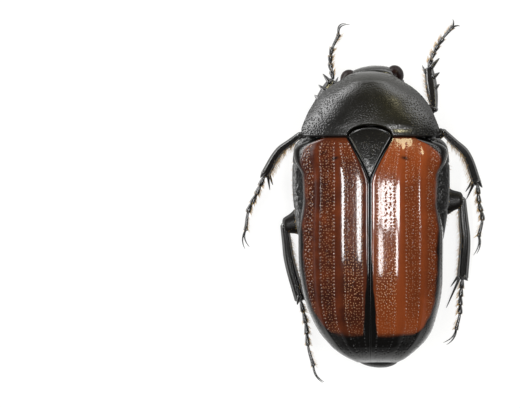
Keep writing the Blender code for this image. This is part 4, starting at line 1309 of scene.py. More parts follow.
@dataclass
class Trunk:
    """Breast, belly rings and end plate, with a ledge under the wing cases.

    The roof under the wing cases has a drop below their margin and a rise in its middle.
    """

    columns: int = 220
    power: float = 2.4
    breast_rear: float = -1.8
    breast_side: float = 0.75
    roof: Pair = (0.1, 0.6)
    neck_inset: float = 0.35
    neck_rise: float = 0.3
    neck_reach: float = 0.17
    grooves: Pair = (4.2, 0.55)
    breast_pits: PitField = PitField((4.0, 4.0), (0.7, 1.2), 0.08, 21)
    belly_span: Pair = (-11.1, -2.0)
    belly_side: float = 0.6
    sternites: tuple[float, ...] = (-3.9, -5.5, -7.0, -8.4, -9.8)
    shows: Stops = ((-11.1, -0.5), (-9.8, -0.2), (-8.4, -0.12), (-2.0, -0.05))
    belly_pits: PitField = PitField((5.0, 5.0), (0.7, 1.2), 0.08, 22)
    pygidium_start: float = -11.3
    pygidium_under: float = 2.9
    pygidium_inset: float = 0.95
    pygidium_power: float = 2.3
    pygidium_depth: float = 0.85
    pygidium_swing: float = 0.3
    pygidium_neck: float = 0.17
    pygidium_pits: PitField = PitField((2.6, 3.4), (0.6, 1.0), 0.09, 23)
    # Painted sheen: share of olive on the breast, belly and end plate.
    cast: float = 0.1

    def ring(self, y: Numbers, half: Numbers, side: Numbers, under: Numbers) -> Numbers:
        """Cross-sections: a keel of a superellipse, a side edge, and a roof below the elytra.

        Args:
            y: Place of each section.
            half: Half width of each.
            side: Height of its widest line.
            under: Height of its keel.

        Returns:
            Grid of places, one row to a section.
        """
        y, half, side, under = (np.asarray(v, float)[:, None] for v in (y, half, side, under))
        turn = np.linspace(-math.pi / 2, math.pi / 2, self.columns // 2)
        back = np.linspace(0, math.pi, self.columns // 2)
        x = half * signed_power(np.sin(turn), 2 / self.power)
        z = side - (side - under) * np.abs(np.cos(turn)) ** (2 / self.power)
        roof_x = half * signed_power(np.cos(back), 0.8)
        drop, rise = self.roof
        roof_z = side + (along(PLAN.margin, y) - GAP - drop + rise - side) * np.sin(back) ** 0.75
        below, above = (np.stack([u, y + 0 * u, v], -1) for u, v in ((x, z), (roof_x, roof_z)))
        return np.concatenate([below, above], 1)

    def pitted(self, rings: Numbers, pits: PitField) -> Numbers:
        """The sections with fine pits all over."""
        return pits.press(rings, grid_normals(rings, len(rings) // 2, self.columns // 4, 2, -1))

    def breast_sections(self, y: Numbers) -> Numbers:
        """Sections of the breast, grooved across between its plates."""
        groove = 0.07 * sum(hill(y, place, 0.09) for place in self.grooves)
        half, side = along(PLAN.thorax_half, y) - groove, along(PLAN.margin, y) - self.breast_side
        return self.ring(y, half, side, along(PLAN.thorax_under, y) + groove)

    def breast(self) -> None:
        """Makes the breast with the process between the middle legs."""
        y = np.linspace(self.breast_rear, PLAN.elytra_front, 110)
        rings = self.pitted(self.breast_sections(y), self.breast_pits)
        rings[..., 2] += 0.05 * hill(rings[..., 0], 0.0, 0.12) * (rings[..., 2] < 3)
        behind = self.neck(self.breast_rear, self.breast_rear - self.neck_reach)
        ahead = self.neck(PLAN.elytra_front, PLAN_BASE - 0.03)
        turn = np.linspace(0, math.pi, 28)
        path = np.stack([0 * turn, 4.85 - 1.25 * np.cos(turn), 1.65 + 0 * turn], 1)
        size = np.maximum(np.sin(turn), 0.02)
        process = Tube(path, 0.65 * size, 0.55 * size, 24, bulge=0.05).skin()
        body = sheet(capped(np.concatenate([behind, rings, ahead])), wrap=True, cast=self.cast).outward()
        make_piece("breast_plates", joined([body, process]), FLANK, "black_cuticle", "thorax")

    def neck(self, start: float, end: float) -> Numbers:
        """Two smaller sections for the membrane that closes the gap to the next segment, rear one first.

        Args:
            start: Where the breast ends.
            end: How far the membrane reaches.

        Returns:
            Grid of their places.
        """
        half = float(along(PLAN.thorax_half, start)) - self.neck_inset
        side = float(along(PLAN.margin, start)) - self.breast_side
        under = float(along(PLAN.thorax_under, start)) + self.neck_rise
        return self.ring(sorted((start, end)), [half] * 2, [side] * 2, [under] * 2)

    def belly_sections(self, y: Numbers) -> Numbers:
        """Sections of the belly, stepped down behind each ring's edge.

        Args:
            y: Place of each section.

        Returns:
            Grid of places, one row to a section.
        """
        past = y[:, None] - np.array(self.sternites)
        step = np.where((past > 0) & (past < 1.6), 0.1 * (1 - ease(0.0, 0.5, past)), 0).max(1)
        step = step + 0.05 * hill(past, 0.0, 0.05).max(1)
        middle, half = body_middle(y)
        half = half + along(self.shows, y) - step
        side, under = along(PLAN.margin, y) - self.belly_side, along(PLAN.abdomen_under, y) + step
        rings = self.ring(y, half, side, under)
        rings[..., 0] += middle[:, None]
        return rings

    def belly(self) -> None:
        """Makes the belly rings."""
        rings = self.pitted(self.belly_sections(np.linspace(*self.belly_span, 190)), self.belly_pits)
        skin = sheet(capped(rings), wrap=True, cast=self.cast).outward()
        make_piece("belly_rings", skin, BELLY, "black_cuticle", "abdomen")

    def end_plate(self) -> None:
        """Makes the pygidium: ovals that shrink as the sine and cosine of a quarter turn."""
        top = float(along(PLAN.margin, PLAN.elytra_tip)) - GAP - 0.05
        side = (top + self.pygidium_under) / 2
        middle, half = (float(value) for value in body_middle(np.array(self.belly_span[0])))
        turn, angle = np.linspace(0, math.pi / 2, 30)[:, None], angles_round(90)
        across, upward = oval(angle, self.pygidium_power)
        half = (half - self.pygidium_inset) * np.cos(turn)
        x = middle + self.pygidium_swing * np.sin(turn) + half * across
        y = self.pygidium_start - self.pygidium_depth * np.sin(turn) + 0 * angle
        dome = np.stack([x, y, side + (top - side) * np.cos(turn) * upward], -1)
        outward = grid_normals(dome, 10, 20, 1, -1)
        outward[-1] = outward[-2]
        dome = self.pygidium_pits.press(dome, outward, 26)
        dome[-1] = dome[-1].mean(0)
        middle = dome[0].mean(0)
        neck = [middle + (dome[0] - middle) * 0.9 + (0, ahead, 0) for ahead in (self.pygidium_neck, 0.0)]
        lid = np.broadcast_to(middle + (0, self.pygidium_neck, 0), (1, *dome[0].shape))
        skin = sheet(np.concatenate([lid, neck, dome]), wrap=True, cast=self.cast).outward()
        make_piece("pygidium_plate", skin, PLATE, "black_cuticle", "pygidium")

    def build(self) -> None:
        """Makes the three bodies."""
        self.breast()
        self.belly()
        self.end_plate()


@dataclass
class Head:
    """Head bent down in front of the pronotum, with its eyes, feelers and mouthparts.

    A section has its place down the face, half width, reach in front and behind, and hollow.
    """

    root: Place = (0.1, 10.85, 4.9)
    bend: float = math.radians(85)
    turn: float = math.radians(5.5)
    sections: tuple[tuple[float, ...], ...] = (
        (-0.5, 1.35, 0.55, 0.7, 0.0),
        (-0.3, 1.75, 0.85, 1.0, 0.0),
        (0.0, 2.0, 1.02, 1.2, 0.0),
        (0.5, 2.12, 1.1, 1.25, 0.0),
        (1.0, 1.95, 1.08, 1.2, 0.0),
        (1.5, 1.6, 1.0, 1.1, 0.05),
        (2.1, 1.4, 0.88, 0.8, 0.15),
        (2.9, 1.36, 0.72, 0.45, 0.22),
        (3.5, 1.32, 0.6, 0.25, 0.22),
        (3.75, 1.15, 0.5, 0.15, 0.1),
    )
    power: float = 2.3
    notch: float = 0.35
    pits: PitField = PitField((3.0, 3.2), (0.6, 1.1), 0.07, 31)
    eye_place: Place = (1.83, 0.45, 0.2)
    eye_radii: Triple = (0.72, 0.8, 0.75)
    stem: tuple[Place, ...] = ((1.82, 1.75, 0.25), (2.25, 2.1, -0.35), (2.3, 2.65, -0.7), (2.05, 3.1, -0.55))
    scape_rows: int = 26
    chin_half: Stops = ((2.35, 0.75), (2.6, 0.85), (3.2, 0.72), (3.5, 0.5))
    chin_thick: Stops = ((2.35, 0.3), (2.6, 0.4), (3.2, 0.38), (3.5, 0.28))
    palp: tuple[Place, ...] = ((0.5, 2.9, -1.3), (0.95, 3.4, -1.25), (1.0, 3.85, -1.0), (0.85, 4.2, -0.75))

    def turned(self, x: Numbers, y: Numbers, z: Numbers) -> Numbers:
        """Places turned about the vertical as the head is."""
        c, s = math.cos(self.turn), math.sin(self.turn)
        return np.stack([x * c - y * s, x * s + y * c, z], -1)

    def place(self, right: Numbers | float, down: Numbers | float, out: Numbers | float) -> Numbers:
        """Places given in the head's own axes.

        Args:
            right: How far to the head's right.
            down: How far down along the face.
            out: How far out of the face.

        Returns:
            Places on the plan, with three numbers each.
        """
        right, down, out = np.broadcast_arrays(*(np.asarray(v, float) for v in (right, down, out)))
        y = math.cos(self.bend) * down + math.sin(self.bend) * out
        z = -math.sin(self.bend) * down + math.cos(self.bend) * out
        return self.turned(right, y, z) + self.root

    def line(self, marks: tuple[Place, ...], side: Side, count: int) -> Numbers:
        """Smooth line through places in the head's own axes, mirrored to a side."""
        return smooth_path([self.place(side.value * right, down, out) for right, down, out in marks], count)

    def capsule(self) -> None:
        """Makes head capsule and clypeus: superellipse sections, hollowed and notched in front."""
        table = np.array(self.sections)
        down = np.linspace(table[0, 0], table[-1, 0], 90)[:, None]
        half, front, back, hollow = (along(table[:, (0, k)], down) for k in (1, 2, 3, 4))
        angle = angles_round(160)
        across, upward = oval(angle, self.power)
        x, out = half * across, np.where(np.sin(angle) > 0, front, back) * upward
        middle = 1 - (x / half) ** 2
        out = np.where(out > 0, out - hollow * middle, out)
        lowered = self.notch * ease(3.2, 3.75, down) * middle
        ridge = 0.05 * hill(x, 0.0, 0.35) * hill(down, 1.6, 0.9) * (out > 0)
        points = self.place(x, down - lowered, out + ridge)
        points = self.pits.press(points, grid_normals(points, 45, 40, 1))
        # Painted sheen: a quarter share of olive on the head.
        skin = sheet(capped(points), wrap=True, cast=0.25).outward()
        make_piece("head_capsule", skin, PLATE, "black_cuticle", "head")

    def eye(self, side: Side) -> None:
        """Makes one eye: an egg, half sunk in the head.

        Args:
            side: Which eye.
        """
        right, down, out = self.eye_place
        turn, angle = np.linspace(0, math.pi, 40)[:, None], angles_round(60)
        width, depth, height = self.eye_radii
        x = width * np.cos(turn) * side.value + 0 * angle
        egg = self.turned(x, depth * np.sin(turn) * np.cos(angle), height * np.sin(turn) * np.sin(angle))
        skin = sheet(egg + self.place(side.value * right, down, out), wrap=True).outward()
        make_piece(f"eye_{side.word}_lens", skin, LENS, "eye", f"eye_{side.word}")

    def feeler(self, side: Side) -> None:
        """Makes one antenna: a scape, round beads and a club of three leaves.

        Args:
            side: Which antenna.
        """
        path = self.line(self.stem, side, 91)
        size = 0.15 + 0.07 * np.abs(np.sin(np.linspace(0, 7 * math.pi, len(path)))) ** 0.8
        size[: self.scape_rows] = np.linspace(0.16, 0.25, self.scape_rows)
        skins = [Tube(path, size, size, 16, up=AHEAD).skin()]
        right, down, out = self.stem[-1]
        end = self.place(side.value * right, down, out)
        span = np.sin(np.linspace(0.35, math.pi - 0.25, 24))
        for leaf in (-1, 0, 1):
            tip = self.place(side.value * (1.75 + 0.12 * leaf), 4.1, -0.25 + 0.3 * leaf)
            line = end + (tip - end) * np.linspace(-0.05, 1, 24)[:, None]
            skins.append(Tube(line, 0.26 * span, 0.1 * span + 0.02, 18, up=AHEAD).skin())
        node = f"antenna_{side.word}"
        make_piece(f"{node}_club", joined(skins), LIMB, "black_cuticle", node)

    def mouth(self) -> None:
        """Makes the chin plate behind the clypeus and the two feelers of the jaws."""
        down = np.linspace(self.chin_half[0][0], self.chin_half[-1][0], 24)
        path = self.place(0.0, down, -1.32 + (down - down[0]) * 0.35)
        half, thick = (along(stops, down) for stops in (self.chin_half, self.chin_thick))
        skins = [Tube(path, half, thick, 36, up=AHEAD, bulge=0.4).skin()]
        size = 0.13 + 0.06 * np.abs(np.sin(np.linspace(0.2, 3.2 * math.pi, 40)))
        skins += [Tube(self.line(self.palp, side, 40), size, size, 14, up=AHEAD).skin() for side in Side]
        make_piece("mouth_plate", joined(skins), LIMB, "black_cuticle", "mouthparts")

    def build(self) -> None:
        """Makes all pieces of the head."""
        self.capsule()
        self.mouth()
        for side in Side:
            self.eye(side)
            self.feeler(side)


@dataclass(frozen=True)
class LegPlan:
    """Places of one leg in millimetres: thigh root, knee, ankle, foot joints, claws, teeth and spurs."""

    coxa: Place
    knee: Place
    ankle: Place
    foot: tuple[Place, ...]
    claws: tuple[Place, ...]
    claw_bend: Place
    teeth: tuple[tuple[Place, Place], ...]
    spurs: tuple[tuple[Pair, Place], ...]
    shin: Place | None = None


LEGS = {
    "fore_left": LegPlan(
        (-1.25, 8.35, 1.85), (-4.75, 8.05, 2.0), (-3.22, 10.9, 0.62),
        ((-3.36, 12.35, 0.25), (-3.3, 13.22, 0.24), (-2.68, 14.65, 0.24)),
        ((-1.8, 15.45, 0.25), (-2.1, 15.55, 0.12)), (-0.3, 0.25, 0.12),
        (
            ((-4.25, 9.45, 1.4), (-4.62, 9.72, 1.3)),
            ((-3.75, 10.1, 1.2), (-4.28, 10.55, 1.05)),
            ((-3.4, 10.8, 0.95), (-3.95, 11.45, 0.75)),
        ),
        (((-2.95, 10.7), (-2.72, 11.2, 0.6)),),
    ),
    "fore_right": LegPlan(
        (1.25, 8.35, 1.85), (5.05, 8.55, 2.0), (4.6, 11.85, 0.62),
        ((4.95, 13.06, 0.25), (5.77, 14.4, 0.24), (6.52, 15.25, 0.24)),
        ((6.5, 15.86, 0.25), (7.09, 15.3, 0.25)), (0.08, 0.08, 0.12),
        (
            ((5.1, 10.3, 1.35), (5.45, 10.6, 1.3)),
            ((4.98, 11.2, 1.1), (5.45, 11.55, 1.0)),
            ((4.8, 12.0, 0.85), (5.43, 12.7, 0.7)),
        ),
        (((4.3, 11.55), (4.06, 12.13, 0.6)),),
    ),
    "mid_left": LegPlan(
        (-1.45, 4.7, 1.75), (-5.76, 6.5, 2.1), (-8.62, 3.3, 0.66),
        ((-9.34, 1.75, 0.25), (-10.0, 0.35, 0.24), (-10.2, -1.15, 0.24)),
        ((-10.25, -2.68, 0.25), (-9.9, -2.5, 0.2)), (-0.25, 0.0, 0.14),
        (((-8.7, 3.5, 0.95), (-8.98, 3.1, 0.8)),),
        (((-8.4, 3.3), (-8.24, 2.1, 0.45)), ((-8.28, 3.35), (-8.0, 2.5, 0.6))),
        (-7.4, 5.25, 1.45),
    ),
    "mid_right": LegPlan(
        (1.45, 4.7, 1.75), (5.76, 6.75, 2.1), (8.45, 2.65, 0.66),
        ((8.64, 1.04, 0.25), (8.9, -0.2, 0.24), (8.6, -1.65, 0.24)),
        ((8.18, -3.18, 0.25), (8.45, -3.05, 0.15)), (0.22, 0.05, 0.14),
        (((8.55, 2.8, 0.95), (8.88, 2.3, 0.8)),),
        (((8.2, 2.6), (7.62, 1.35, 0.45)), ((8.08, 2.75), (7.55, 1.95, 0.6))),
        (7.5, 5.1, 1.45),
    ),
    "hind_left": LegPlan(
        (-1.7, 0.55, 1.75), (-7.0, -0.78, 2.1), (-5.78, -6.7, 0.68),
        ((-5.33, -8.77, 0.25), (-5.15, -10.6, 0.24), (-4.73, -12.1, 0.24)),
        ((-3.86, -13.41, 0.25), (-4.0, -13.45, 0.12)), (-0.2, -0.12, 0.14),
        (((-5.85, -6.5, 0.95), (-6.02, -7.15, 0.85)),),
        (((-5.5, -6.4), (-4.95, -7.6, 0.45)), ((-5.4, -6.3), (-4.8, -6.95, 0.6))),
        (-6.66, -3.4, 1.45),
    ),
    "hind_right": LegPlan(
        (1.7, 0.95, 1.75), (7.25, 1.3, 2.1), (7.3, -4.95, 0.68),
        ((7.13, -6.65, 0.25), (7.08, -7.9, 0.24), (6.78, -9.15, 0.24)),
        ((5.75, -10.22, 0.25), (6.0, -10.4, 0.15)), (0.22, -0.1, 0.14),
        (((7.4, -4.9, 0.95), (7.72, -5.2, 0.85)),),
        (((7.1, -4.9), (6.0, -7.4, 0.45)), ((7.02, -4.75), (6.35, -5.7, 0.6))),
        (7.5, -1.9, 1.45),
    ),
}  # fmt: skip


@dataclass(frozen=True)
class LegSizes:
    """Sizes of a leg and its fringe.

    Thigh and shin have half widths and half thicknesses: the thigh at its root, at its widest and at the
    knee, the shin from knee to ankle. The fringe has a number of hairs and a range of lengths.
    """

    widest: float
    thigh: tuple[Pair, ...]
    shin: tuple[Pair, ...]
    fringe: int
    fringe_lengths: Pair


SIZES = {
    "fore": LegSizes(
        0.5,
        ((0.62, 0.45), (0.82, 0.48), (0.36, 0.34)),
        ((0.24, 0.26), (0.4, 0.28), (0.44, 0.26), (0.32, 0.22)),
        70,
        (0.2, 0.5),
    ),
    "mid": LegSizes(
        0.5,
        ((0.62, 0.45), (0.8, 0.48), (0.38, 0.35)),
        ((0.25, 0.26), (0.3, 0.28), (0.34, 0.29), (0.36, 0.28)),
        200,
        (0.2, 0.7),
    ),
    "hind": LegSizes(
        0.8,
        ((0.8, 0.46), (1.08, 0.5), (0.64, 0.38)),
        ((0.32, 0.28), (0.39, 0.31), (0.43, 0.33), (0.44, 0.32)),
        150,
        (0.2, 0.5),
    ),
}


def hairs(roots: Numbers, ways: Numbers, lengths: Numbers, droop: Numbers, spots: Numbers,
          thick: float) -> Skin:  # fmt: skip
    """Tapered three-sided hairs, each a path root + way t + droop t^2, mapped to a patch at its root.

    Args:
        roots: Where each hair grows.
        ways: Its direction at the root.
        lengths: Its length in millimetres.
        droop: How far its tip is pushed aside.
        spots: Its root's place on the unwrapped skin, from 0 to 1 both ways.
        thick: Radius at its root.

    Returns:
        One skin of all hairs.
    """
    t = np.array([0.0, 0.0, 0.4, 0.75, 1.0])
    size = np.array([0.0, 1.0, 0.8, 0.45, 0.0]) * thick
    way = unit(ways)
    reach = way[:, None] * (lengths[:, None] * t)[..., None]
    path = roots[:, None] + reach + droop[:, None] * (t**2)[:, None]
    side = unit(np.cross(way, np.array([0.31, 0.17, 0.94])))
    top = np.cross(side, way)
    angle = angles_round(3)
    spread = side[:, None] * np.cos(angle)[:, None] + top[:, None] * np.sin(angle)[:, None]
    points = path[:, :, None] + spread[:, None] * size[:, None, None]
    points[..., 2] = np.maximum(points[..., 2], 0.0)
    one = sheet(points[0], wrap=True)
    count, per = len(roots), points.shape[1] * 3
    faces = (one.faces[None] + (np.arange(count) * per)[:, None, None]).reshape(-1, 4)
    maps = (spots[:, None, None] * 0.994 + one.maps[None] * 0.003).reshape(-1, 4, 2)
    return Skin(points.reshape(-1, 3), faces, maps)


@dataclass(frozen=True)
class Bunch:
    """Hairs to grow on a tube: how many, the angles and shares between which they stand, and their lean."""

    count: int
    around: Pair
    lengths: Pair
    band: int
    lean: float
    span: Pair = (0.04, 0.98)

    def grow(self, tube: Tube, inner: float, rng: np.random.Generator) -> tuple[Numbers, ...]:
        """Hairs on a tube, leaning ahead.

        Args:
            tube: Where they grow.
            inner: Angle of the tube's inner edge, from which the others count.
            rng: Seeded source of their places.

        Returns:
            Roots, directions, lengths, droops and places on the map.
        """
        share = rng.uniform(*self.span, self.count)
        angle = inner + rng.uniform(*self.around, self.count)
        root, out, way = tube.roots(share, angle)
        length = rng.uniform(*self.lengths, self.count)
        lean = (self.lean + rng.normal(0, 0.15, self.count))[:, None]
        direction = out + way * lean + rng.normal(0, 0.1, (self.count, 3))
        droop = way * (length * rng.uniform(0.1, 0.3, self.count))[:, None]
        spot = np.stack([share * 0.9 + 0.05, (self.band + 0.1 + 0.8 * ((angle / ROUND) % 1)) / 8], 1)
        return root - out * 0.04, direction, length, droop, spot


@dataclass
class Leg:
    """One leg: thigh, shin with teeth and spurs, and a foot of five joints with two claws."""

    name: str
    hair_radius: float = 0.011
    knee_radius: float = 0.3
    tooth_radii: Pair = (0.22, 0.03)
    spur_radius: float = 0.13
    claw_radii: Pair = (0.09, 0.012)
    hip_span: Pair = (-0.05, 1.0)
    hip_sizes: Pair = (0.4, 0.52)
    hip_inward: float = 0.12
    path_rows: int = 200
    joint_rows: int = 22
    joint_shares: tuple[float, ...] = (0.0, 0.17, 0.34, 0.51, 0.68, 1.0)
    joint_flare: Stops = ((0, 0.11), (0.25, 0.15), (0.85, 0.21), (1, 0.2))
    last_flare: Stops = ((0, 0.1), (0.3, 0.12), (0.8, 0.15), (1, 0.19))

    @property
    def plan(self) -> LegPlan:
        """Places of this leg."""
        return LEGS[self.name]

    @property
    def sizes(self) -> LegSizes:
        """Widths of this leg."""
        return SIZES[self.name.split("_")[0]]

    @property
    def inward(self) -> float:
        """Sign of X towards the body."""
        return 1.0 if "left" in self.name else -1.0

    def shin_middle(self) -> Numbers:
        """Place halfway down the shin."""
        middle = (np.array(self.plan.knee) + np.array(self.plan.ankle)) / 2
        return middle if self.plan.shin is None else np.array(self.plan.shin)

    def thigh(self) -> Tube:
        """Femur: flattened, swollen towards its middle, up to beside the knee.

        Returns:
            The tube.
        """
        root, knee = np.array(self.plan.coxa), np.array(self.plan.knee)
        back = unit(root - knee)
        fold = max(float(back @ unit(self.shin_middle() - knee)), 0.0)
        wide, widest, end = self.sizes.thigh
        stop = knee + back * (0.16 + end[0] * fold) / math.sqrt(1 - fold**2)
        share = np.linspace(0, 1, 44)
        marks = (0.0, 0.1, self.sizes.widest, 0.9, 1.0)
        sizes = ((wide[0] * 0.7, wide[1] * 0.8), wide, widest, (end[0] * 1.28, end[1] * 1.15), end)
        width, depth = (along([(m, s[k]) for m, s in zip(marks, sizes)], share) for k in (0, 1))
        return Tube(root + (stop - root) * share[:, None], width, depth, 36, flutes=2, flute_height=0.03)

    def hip(self) -> Tube:
        """Coxa: a short barrel from the thigh's root up into the body.

        Returns:
            The tube.
        """
        rise = np.linspace(*self.hip_span, 8)[:, None] * np.array(UP)
        path = np.array(self.plan.coxa) + np.array([self.inward * self.hip_inward, 0.0, 0.0]) + rise
        size = np.linspace(*self.hip_sizes, 8)
        return Tube(path, size, size, 24, up=AHEAD)

    def shin(self) -> Tube:
        """Tibia: a fluted rod that widens to the ankle.

        Returns:
            The tube.
        """
        knee, middle, ankle = np.array(self.plan.knee), self.shin_middle(), np.array(self.plan.ankle)
        path = smooth_path([knee, knee + (middle - knee) / 2, middle, ankle], 60)
        share, marks = np.linspace(0, 1, 60), (0.0, 0.33, 0.66, 1.0)
        width, depth = (along([(m, s[k]) for m, s in zip(marks, self.sizes.shin)], share) for k in (0, 1))
        return Tube(path, width, depth, 36, flutes=6, flute_height=0.07, bulge=0.6)

    def foot_path(self) -> Numbers:
        """Path of the foot from the ankle to the claws, lying on the floor.

        Returns:
            Its places.
        """
        ankle = np.array(self.plan.ankle)
        start = ankle + unit(ankle - self.shin_middle()) * GAP - (0, 0, 0.12)
        path = smooth_path([start, *self.plan.foot], self.path_rows)
        path[:, 2] -= 0.06 * ease(0.0, 0.3, np.linspace(0, 1, self.path_rows))
        return path

    def foot_joints(self) -> list[Tube]:
        """The five joints, each slender at its root and flared at its end.

        Returns:
            Their tubes.
        """
        path, last = self.foot_path(), self.path_rows - 1
        t = np.linspace(0, 1, self.joint_rows)
        tubes = []
        for start, end in zip(self.joint_shares, self.joint_shares[1:]):
            rows = np.linspace(start * last, end * last - 1, self.joint_rows).astype(int)
            size = along(self.last_flare if end == 1 else self.joint_flare, t)
            tubes.append(Tube(path[rows], size, size * 0.9, 16, bulge=0.5, floor=0.0))
        return tubes

    def coat(self, shin: Tube, thigh: Tube, joints: list[Tube], seed: int) -> Skin:
        """Golden fringe along the inner edge of shin and foot, and short bristles all round.

        Args:
            shin: The shin.
            thigh: The thigh.
            joints: The joints of the foot.
            seed: Seed of the hairs' places.

        Returns:
            One skin of all hairs.
        """
        rng = np.random.default_rng(seed)
        side = float(shin.frames()[1].mean(0)[0])
        inner = 0.0 if side * self.inward > 0 else math.pi
        growth = [
            (shin, Bunch(self.sizes.fringe, (-0.5, 0.5), self.sizes.fringe_lengths, 0, 0.75, (0.12, 0.97))),
            (shin, Bunch(70, (-1.2, 1.2), (0.1, 0.22), 1, 1.4)),
            (thigh, Bunch(40, (-1.2, 1.2), (0.12, 0.3), 2, 1.2, (0.3, 1.0))),
        ]
        for band, joint in enumerate(joints, 3):
            growth.append((joint, Bunch(26, (-0.6, 0.6), (0.2, 0.42), band, 0.9, (0.2, 1.0))))
            growth.append((joint, Bunch(14, (0.0, ROUND), (0.12, 0.3), band, 1.2, (0.7, 1.0))))
        bunches = [bunch.grow(tube, inner, rng) for tube, bunch in growth]
        return hairs(*(np.concatenate(parts) for parts in zip(*bunches)), self.hair_radius)

    def build(self, seed: int) -> None:
        """Makes the three shells and the coat.

        Args:
            seed: Seed of the hairs' places.
        """
        node, plan = f"leg_{self.name}", self.plan
        thigh, shin, joints = self.thigh(), self.shin(), self.foot_joints()
        knob = Tube(shin.path[:1] + [(0, 0, 0), (0, 0.02, 0)], *[np.full(2, self.knee_radius)] * 2, 24).skin()
        thick, thin = self.tooth_radii
        teeth = [thorn(root, tip, thick, tip_radius=thin) for root, tip in plan.teeth]
        height = plan.ankle[2] + 0.2
        spurs = [
            thorn((*base, height - 0.2 * i), tip, self.spur_radius)
            for i, (base, tip) in enumerate(plan.spurs)
        ]
        bend, (thick, thin) = np.array(plan.claw_bend) * 0.9, self.claw_radii
        claws = [thorn(joints[-1].path[-1], tip, thick, bend, thin) for tip in plan.claws]
        for part, skins, finish in (
            ("femur", [thigh.skin(), self.hip().skin()], THIGH),
            ("tibia", [shin.skin(), knob, *teeth, *spurs], LIMB),
            ("tarsus", [joint.skin() for joint in joints] + claws, LIMB),
        ):
            make_piece(f"{node}_{part}_shell", joined(skins), finish, "dark_limb", f"{node}_{part}")
        make_piece(f"coat_{self.name}", self.coat(shin, thigh, joints, seed), HAIR, "dark_limb")


@dataclass(frozen=True)
class HairPatch:
    """Hairs on the breast: how many, between which shares of its half ring, and how long."""

    name: str
    count: int
    band: Pair
    y_span: Pair
    lengths: Pair


@dataclass
class BodyCoat:
    """Golden hair on the flanks and underside of the breast."""

    patches: tuple[HairPatch, ...] = (
        HairPatch("coat_flanks", 160, (0.02, 0.16), (-0.8, 6.1), (0.15, 0.35)),
        HairPatch("coat_breast", 2200, (0.12, 0.5), (-1.2, 6.0), (0.15, 0.4)),
    )
    rows: int = 200
    hair_radius: float = 0.013

    def grown(self, patch: HairPatch, trunk: Trunk, rng: np.random.Generator) -> Skin:
        """Hairs of one patch, half of them on each side of the body.

        Args:
            patch: Which patch.
            trunk: The body on whose breast they grow.
            rng: Seeded source of their places.

        Returns:
            One skin of all hairs.
        """
        count, columns = patch.count, trunk.columns // 2
        y = np.linspace(trunk.breast_rear, PLAN.elytra_front, self.rows)
        rings = trunk.breast_sections(y)[:, :columns]
        outward = grid_normals(rings, self.rows // 2, columns // 2, 2, -1)
        row = np.interp(rng.uniform(*patch.y_span, count), y, np.arange(self.rows)).astype(int)
        share = rng.uniform(*patch.band, count)
        share = np.where(rng.random(count) < 0.5, share, 1 - share)
        col = (share * (columns - 1)).astype(int)
        root, out = rings[row, col], outward[row, col]
        length = rng.uniform(*patch.lengths, count)
        way = out + np.array([0.0, -0.8, 0.1]) + rng.normal(0, 0.25, (count, 3))
        droop = np.array([0.0, -0.1, -0.12]) * length[:, None] * 2
        spot = np.stack([col / trunk.columns * 1.9, row / self.rows], 1)
        return hairs(root - out * 0.03, way, length, droop, spot, self.hair_radius)

    def build(self, trunk: Trunk) -> None:
        """Makes the two coats on the breast of a trunk."""
        rng = np.random.default_rng(77)
        for patch in self.patches:
            make_piece(patch.name, self.grown(patch, trunk, rng), HAIR, "dark_limb")


@dataclass(frozen=True)
class Lamp:
    """Oval soft light: its place and size in millimetres, power in watts and tint."""

    name: str
    place: Place
    size: Pair
    power: float
    tint: Triple = (1.0, 1.0, 1.0)


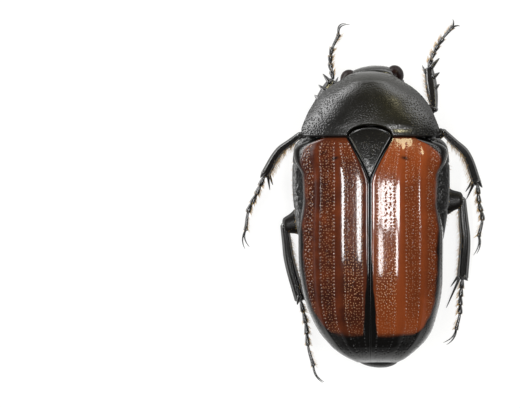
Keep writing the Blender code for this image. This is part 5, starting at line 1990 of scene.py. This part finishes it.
@dataclass
class Studio:
    """Plain pale floor, soft lights round an overhead camera, and a bright low surround."""

    frame_centre: Pair = (-8.88, 0.96)
    frame_width: float = 41.6
    distance: float = 450.0
    lean: float = math.radians(2.2)
    focus_height: float = 4.5
    sensor: float = 36.0
    floor_reach: float = 3.0
    lamps: tuple[Lamp, ...] = (
        Lamp("strip_left", (-51.0, 3.0, 300.0), (15.0, 170.0), 0.27),
        Lamp("strip_right", (62.0, 4.0, 300.0), (46.0, 56.0), 0.24),
        Lamp("strip_behind", (43.0, -66.0, 300.0), (15.0, 90.0), 0.12),
        Lamp("front_spark", (140.0, 236.0, 260.0), (70.0, 44.0), 0.16, (1.0, 0.91, 0.55)),
    )
    walls: tuple[tuple[float, Place], ...] = ((9.5, (-0.9, 0.43, 0.0)), (3.4, (0.6, 0.8, 0.0)))
    low_light: float = 0.35
    overhead_light: float = 0.08

    def placed(self, name: str, data: bpy.types.ID, place: Numbers, away: Numbers) -> bpy.types.Object:
        """Object at a place that looks against a way, with its own y along the body.

        Args:
            name: Its name.
            data: What it is, a camera or light.
            place: Where it stands, in metres.
            away: The way that its back faces.

        Returns:
            The object.
        """
        z = Vector(away).normalized()
        x = Vector(AHEAD).cross(z).normalized()
        thing = linked(bpy.data.objects.new(name, data))
        turn = Matrix((x, z.cross(x), z)).transposed().to_4x4()
        thing.matrix_world = Matrix.Translation(Vector(place)) @ turn
        return thing

    def camera(self) -> None:
        """Looks straight down with a slight lean, so that a whole frame is 41.6 mm wide at mid height."""
        target = (np.array([*self.frame_centre, self.focus_height]) + SHIFT) * MM
        away = np.array([math.sin(self.lean), 0.0, math.cos(self.lean)])
        data = bpy.data.cameras.new("camera")
        data.sensor_width = self.sensor
        data.lens = self.sensor * self.distance / self.frame_width
        data.clip_start, data.clip_end = 0.01, 10
        place = target + away * self.distance * MM
        bpy.context.scene.camera = self.placed("camera", data, place, away)

    def light(self, lamp: Lamp) -> None:
        """Adds a lamp, turned to the beetle.

        Args:
            lamp: The lamp.
        """
        data = bpy.data.lights.new(lamp.name, "AREA")
        data.shape = "ELLIPSE"
        data.size, data.size_y = lamp.size[0] * MM, lamp.size[1] * MM
        data.energy, data.color = lamp.power, lamp.tint
        self.placed(lamp.name, data, np.array(lamp.place) * MM, np.array(lamp.place))

    def surround(self) -> None:
        """World that is dim above about 30 degrees, with two bright walls in front below that."""
        world = bpy.data.worlds.new("surround")
        world.use_nodes = True
        tree = world.node_tree
        tree.nodes.clear()
        ways = add(tree, "TexCoord", output="Generated")
        height = add(tree, "SeparateXYZ", {0: ways}, "Z")
        fade = {"Value": height, "From Min": 0.34, "From Max": 0.5, "To Min": 1.0, "To Max": 0.0}
        low = add(tree, "MapRange", fade, interpolation_type="SMOOTHSTEP")
        light: object = self.low_light
        for strength, way in self.walls:
            facing = add(tree, "VectorMath", {0: ways, 1: way}, "Value", operation="DOT_PRODUCT")
            edge = {"Value": facing, "From Min": 0.55, "From Max": 0.9, "To Max": strength}
            wall = add(tree, "MapRange", edge, interpolation_type="SMOOTHSTEP")
            light = add(tree, "Math", {0: light, 1: wall})
        light = add(tree, "Math", {0: low, 1: light, 2: self.overhead_light}, operation="MULTIPLY_ADD")
        back = add(tree, "Background", {"Color": (1, 1, 1, 1), "Strength": light})
        add(tree, "OutputWorld", {"Surface": back})
        bpy.context.scene.world = world

    def floor(self) -> None:
        """Wide plain board at height 0."""
        reach = self.floor_reach
        corners = [(x * reach, y * reach, 0) for x, y in ((-1, -1), (1, -1), (1, 1), (-1, 1))]
        mesh = bpy.data.meshes.new("floor")
        mesh.from_pydata(corners, [], [(0, 1, 2, 3)])
        mesh.materials.append(BOARD.material())
        floor = linked(bpy.data.objects.new("floor", mesh))

    def build(self) -> None:
        """Sets up floor, camera, lights and surround."""
        self.floor()
        self.camera()
        self.surround()
        for lamp in self.lamps:
            self.light(lamp)
        bpy.context.scene.view_settings.view_transform = "Standard"


def main() -> None:
    """Builds the beetle piece by piece, then its studio."""
    logging.basicConfig(level=logging.INFO, format="%(message)s")
    trunk = Trunk()
    builders: list[tuple[str, Callable[[], None]]] = [
        ("trunk", trunk.build),
        ("pronotum", Pronotum().build),
        ("scutellum", Scutellum().build),
        ("head", Head().build),
        *((f"wing case {side.word}", WingCase(side).build) for side in Side),
    ]
    for name, build in builders:
        build()
        log.info("built the %s", name)
    for i, name in enumerate(LEGS):
        Leg(name).build(100 + i)
        log.info("built the leg %s", name)
    BodyCoat().build(trunk)
    log.info("built the coats")
    Studio().build()


if __name__ == "__main__":
    main()
